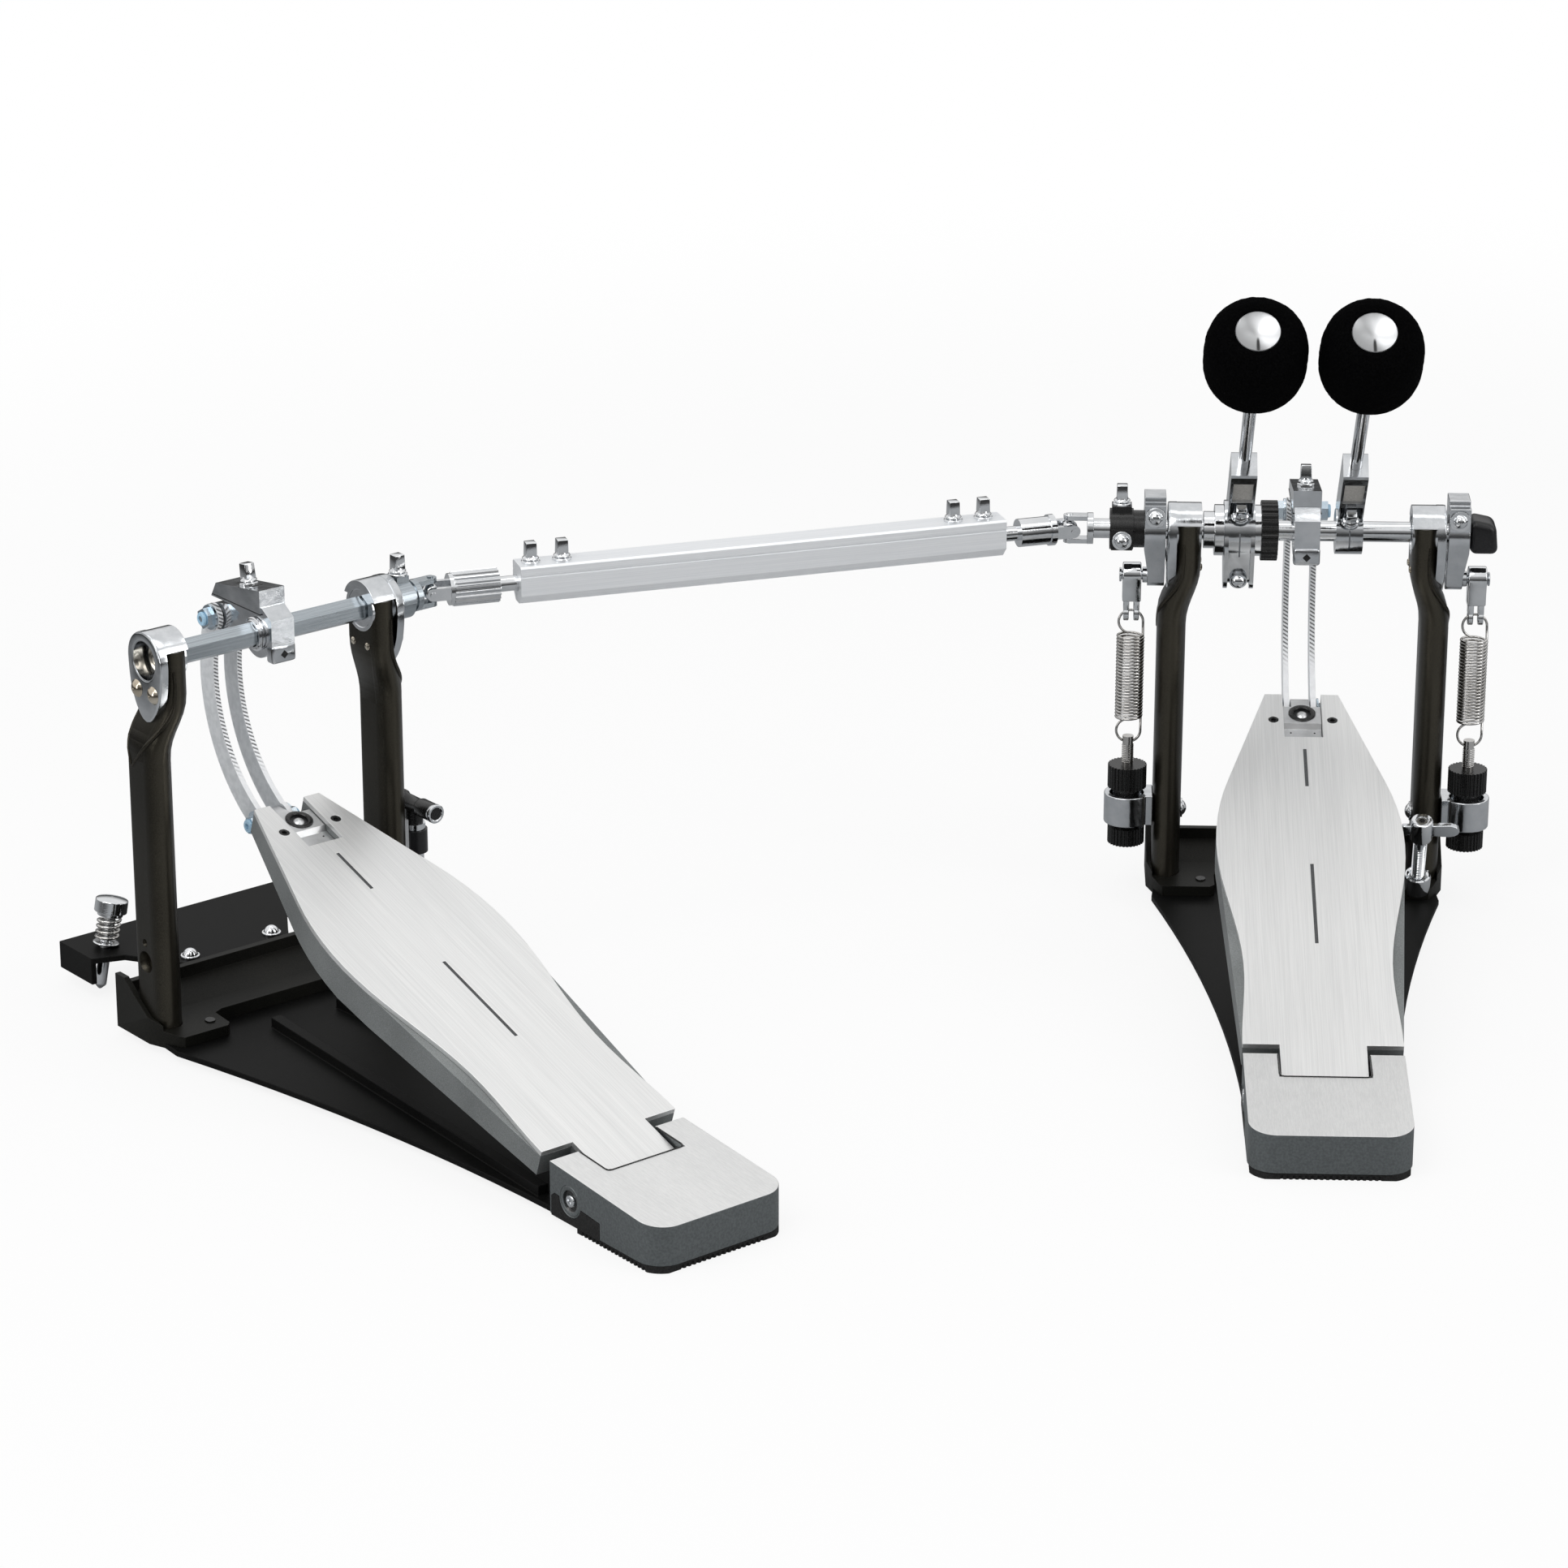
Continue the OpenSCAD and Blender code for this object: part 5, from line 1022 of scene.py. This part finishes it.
# %% Clamp bolt
BOLT = MAIN @ at(62.55, -16, 11) @ about("X", math.radians(20))
BOLT_HEAD = [(0, 34), (4.4, 34), (5.3, 34.5), (5.7, 35.4), (5.7, 45.9), (5.3, 46.7), (4.5, 47), (2.9, 47),
             (2.7, 46.6), (0, 46.5)]
BOLT_ROD = [(0, -3), (3.0, -3), (3.0, 34.5), (0, 34.5)]
# a black disc in the head's dip: painted shade for the hex socket
BOLT_SOCKET_SHADE = [(0, 46.4), (1.7, 46.4), (1.7, 46.62), (0, 46.62)]
BOLT_CUP = [(3.8, 0), (3.8, 8.2), (4.6, 9.6), (5.6, 10.2), (6.5, 9.8), (6.9, 8.8), (6.9, 0), (3.8, 0)]
WING_LINE = [(3, -3.3), (14.4, -3.7), (17, -3.1), (18.8, -1.7), (19.4, 0), (18.8, 1.7), (17, 3.1),
             (14.4, 3.7), (3, 3.3)]
WING_Z = 40.6
for tag, mesh, place, coat, crease in (
    ("head", lathe(BOLT_HEAD), BOLT, "chrome", 35),
    ("rod", lathe(BOLT_ROD, 32), BOLT, "chrome", 35),
    ("wing", slab(WING_LINE, -1.7, 1.7, 0.5), BOLT @ at(0, 0, WING_Z) @ about("Z", -QUARTER), "nickel", 35),
    ("stub", rounded_block((6, 3.2, 6), (-7, 0, WING_Z), 0.8), BOLT, "nickel", 35),
    ("socket", lathe(BOLT_SOCKET_SHADE, 6), BOLT, "black_metal", 35),
    ("thread", thread(3.0, 0.55, 9, 22, 1.15), BOLT, "chrome", 80),
):
    add(mesh, "clamp_" + tag, place, coat, body_of["hoop_bolt"], "chrome", "hoop_bolt", crease=crease)
add(lathe(BOLT_CUP), "clamp_cup", BOLT, "chrome", "main_frame", "chrome")
print("clamp bolt done")

# %% End cap
CAP_SIZE, CAP_MIDDLE, CAP_SLOPE = (14.4, 18.2, 18.2), (89.6, 0, 0), (-1.5, 0, -2.6)

def sloped_cap():
    mesh = bmesh.new()
    corners = block(mesh, CAP_SIZE, CAP_MIDDLE)
    outer = [v for v in corners if v.co.x > CAP_MIDDLE[0] and v.co.z > 0]
    bmesh.ops.translate(mesh, vec=CAP_SLOPE, verts=outer)
    round_edges(mesh, mesh.edges[:], 3.6, 6)
    return mesh

cap = add(sloped_cap(), "end_cap", MAIN @ SHAFT, "black_plastic",
          body_of["shaft_end_cap"], "black_plastic", "shaft_end_cap")
print("cap", len(cap.data.polygons), "faces")

# %% [markdown]
# ## Hinge ends and the painted shadow round the heel's notch
# At each end of a footboard's hinge pin a small domed screw sits in a well
# whose black floor is painted shade, with a ring flush in the heel block. A
# thin black strip runs round the notch in which the footboard's tongue lies:
# a painted shadow of the gap between them.

# %% Hinge ends and painted shadow round the notch
HINGE_RING = [(5.2, 36.3), (5.2, 37.8), (5.5, 38.0), (7.0, 38.0), (7.28, 37.8), (7.28, 36.3), (5.2, 36.3)]
# the black disc in the well under the dome: painted shade for its hollow
HINGE_WELL_SHADE = [(0, 36.3), (0, 36.95), (5.25, 36.95), (5.25, 36.3), (0, 36.3)]
HINGE_DOME = [(0, 37.5), (1.2, 37.5), (1.4, 38.2), (2.0, 38.35), (2.7, 38.1), (3.1, 37.4), (3.15, 36.6),
              (0, 36.6)]
NOTCH_HALF = [(21.6, -275), (21.6, -293.6), (21.0, -295.2), (19.4, -295.9)]
NOTCH = [(-x, y) for x, y in NOTCH_HALF] + NOTCH_HALF[::-1]
NOTCH_FRONT, NOTCH_Z, BLOCK_SLOPE = -273.7, 29.2, math.tan(math.radians(4.9))
for pedal, world in PEDALS:
    for side, flip in SIDES:
        axis = world @ flip @ at(0, HINGE_Y, 14.5) @ about("Y", QUARTER)
        for tag, outline, coat in (("ring", HINGE_RING, pedal + "_heel"), ("well", HINGE_WELL_SHADE, "black_metal"),
                                   ("dome", HINGE_DOME, "chrome")):
            add(lathe(outline), "%s_%s_hinge_%s" % (pedal, side, tag), axis, coat,
                body_of[pedal + "_hinge_pin"], "nickel", crease=35)
    spots = [(x, y, NOTCH_Z + (y - NOTCH_FRONT) * BLOCK_SLOPE + 0.02) for x, y in NOTCH]
    # a black strip round the notch: painted shadow of the gap round the tongue
    gap_shadow_strip = wire(pedal + "_notch_gap_shadow", spots, 0.42, world, "black_metal")
    seat(gap_shadow_strip, body_of[pedal + "_heel_block"], "black_metal")
print("notch gap shadow", len(gap_shadow_strip.data.polygons), "faces")

# %% [markdown]
# ## Studio
# A plain pale floor that fades into a white background, a large soft lamp in
# front, a weaker one at the right, a strip above and a narrow rim lamp at
# each side. Mirrors need something to mirror: in a photographer's studio the
# lamps are bright, the air between them is dark, and that contrast is what
# makes chrome look like chrome. So the world is white for the camera alone.
# Reflections see it darker near the horizon, where only a band at each side
# is bright, and the floor's far rim is darker in them too. The floor keeps
# the shadow.

# %% Which ray looks
def rays(tree):
    """1 for the camera's own rays, for mirrored ones, and for those through glass."""
    path = tree.nodes.new("ShaderNodeLightPath")
    return [Wire(tree, path.outputs["Is %s Ray" % kind]) for kind in ("Camera", "Glossy", "Transmission")]

# %% World
def light_world(scene):
    world = bpy.data.worlds.new("studio")
    scene.world = world
    world.use_nodes = True
    tree = world.node_tree
    seen, mirror, through = rays(tree)
    view = Wire(tree, tree.nodes.new("ShaderNodeTexCoord").outputs["Generated"])
    height = view.part("Z")
    behind = view.part("Y").between(-0.25, 0.25)
    front = height.between(0.0, 0.42) * 0.35 + height.between(0.42, 0.62) * 0.65
    room = behind * height.between(0.04, 0.42) + (1 - behind) * front
    left = (1 - view.part("X").between(-0.85, -0.6)) * 0.8
    right = view.part("X").between(0.75, 0.9) * 0.55
    room = (0.07 + room * 0.87).math("MAXIMUM", left.math("MAXIMUM", right))
    bright = seen.math("MAXIMUM", through)
    strength = bright + (1 - bright) * (mirror * room + (1 - mirror) * 0.58)
    back = tree.nodes["Background"]
    back.inputs["Color"].default_value = (1, 1, 1, 1)
    tree.links.new(strength.socket, back.inputs["Strength"])

# %% Floor
def pale_floor(name):
    material, here, _ = finish(name, (0.86, 0.86, 0.86), roughness=0.9, specular=0.0)
    tree = material.node_tree
    seen, mirror, through = rays(tree)
    far = here.node("VectorMath", {"operation": "LENGTH"}, outlet=1, Vector=here).between(0.7, 1.5)
    near = mirror.mix((0.86, 0.86, 0.86), (0.40, 0.41, 0.42))
    feed(material, "Base Color", (mirror * far).mix(near, (0.06, 0.06, 0.06)))
    share = seen.math("MAXIMUM", through) * (0.86 + far * 0.14)
    glow = tree.nodes.new("ShaderNodeEmission")
    blend = tree.nodes.new("ShaderNodeMixShader")
    tree.links.new(share.socket, blend.inputs["Fac"])
    tree.links.new(tree.nodes["Principled BSDF"].outputs["BSDF"], blend.inputs[1])
    tree.links.new(glow.outputs["Emission"], blend.inputs[2])
    tree.links.new(blend.outputs["Shader"], tree.nodes["Material Output"].inputs["Surface"])

def lay_floor():
    mesh = bmesh.new()
    bmesh.ops.create_grid(mesh, x_segments=1, y_segments=1, size=8)
    pale_floor("floor")
    settle(mesh, "floor", IN_PLACE, "floor")

# %% Lamps
LAMPS = [  # name, place, size, power
    ("key", (-1.1, -1.5, 2.2), (1.8, 1.8), 24),
    ("fill", (1.8, -1.2, 1.5), (1.4, 1.4), 8),
    ("strip", (-0.1, 0.1, 1.9), (2.4, 0.3), 4),
    ("right rim", (2.3, -1.1, 0.75), (0.3, 1.5), 6),
    ("left rim", (-2.4, -1.5, 0.75), (0.3, 1.5), 6),
]
LIT_MIDDLE = Vector((-0.2, -0.1, 0.1))

def hang_lamps(scene):
    for name, place, size, power in LAMPS:
        lamp = bpy.data.lights.new(name, "AREA")
        lamp.shape = "RECTANGLE"
        lamp.size, lamp.size_y = size
        lamp.energy = power
        obj = bpy.data.objects.new(name, lamp)
        scene.collection.objects.link(obj)
        obj.location = place
        obj.rotation_euler = (LIT_MIDDLE - Vector(place)).to_track_quat("-Z", "Y").to_euler()

# %% Set the studio up
bpy.context.scene.view_settings.view_transform = "Standard"
light_world(bpy.context.scene)
lay_floor()
hang_lamps(bpy.context.scene)
print("lamps", len(LAMPS))

# %% Plain numbers for a box
def plain(box):
    return [[float(v) for v in corner] for corner in box]
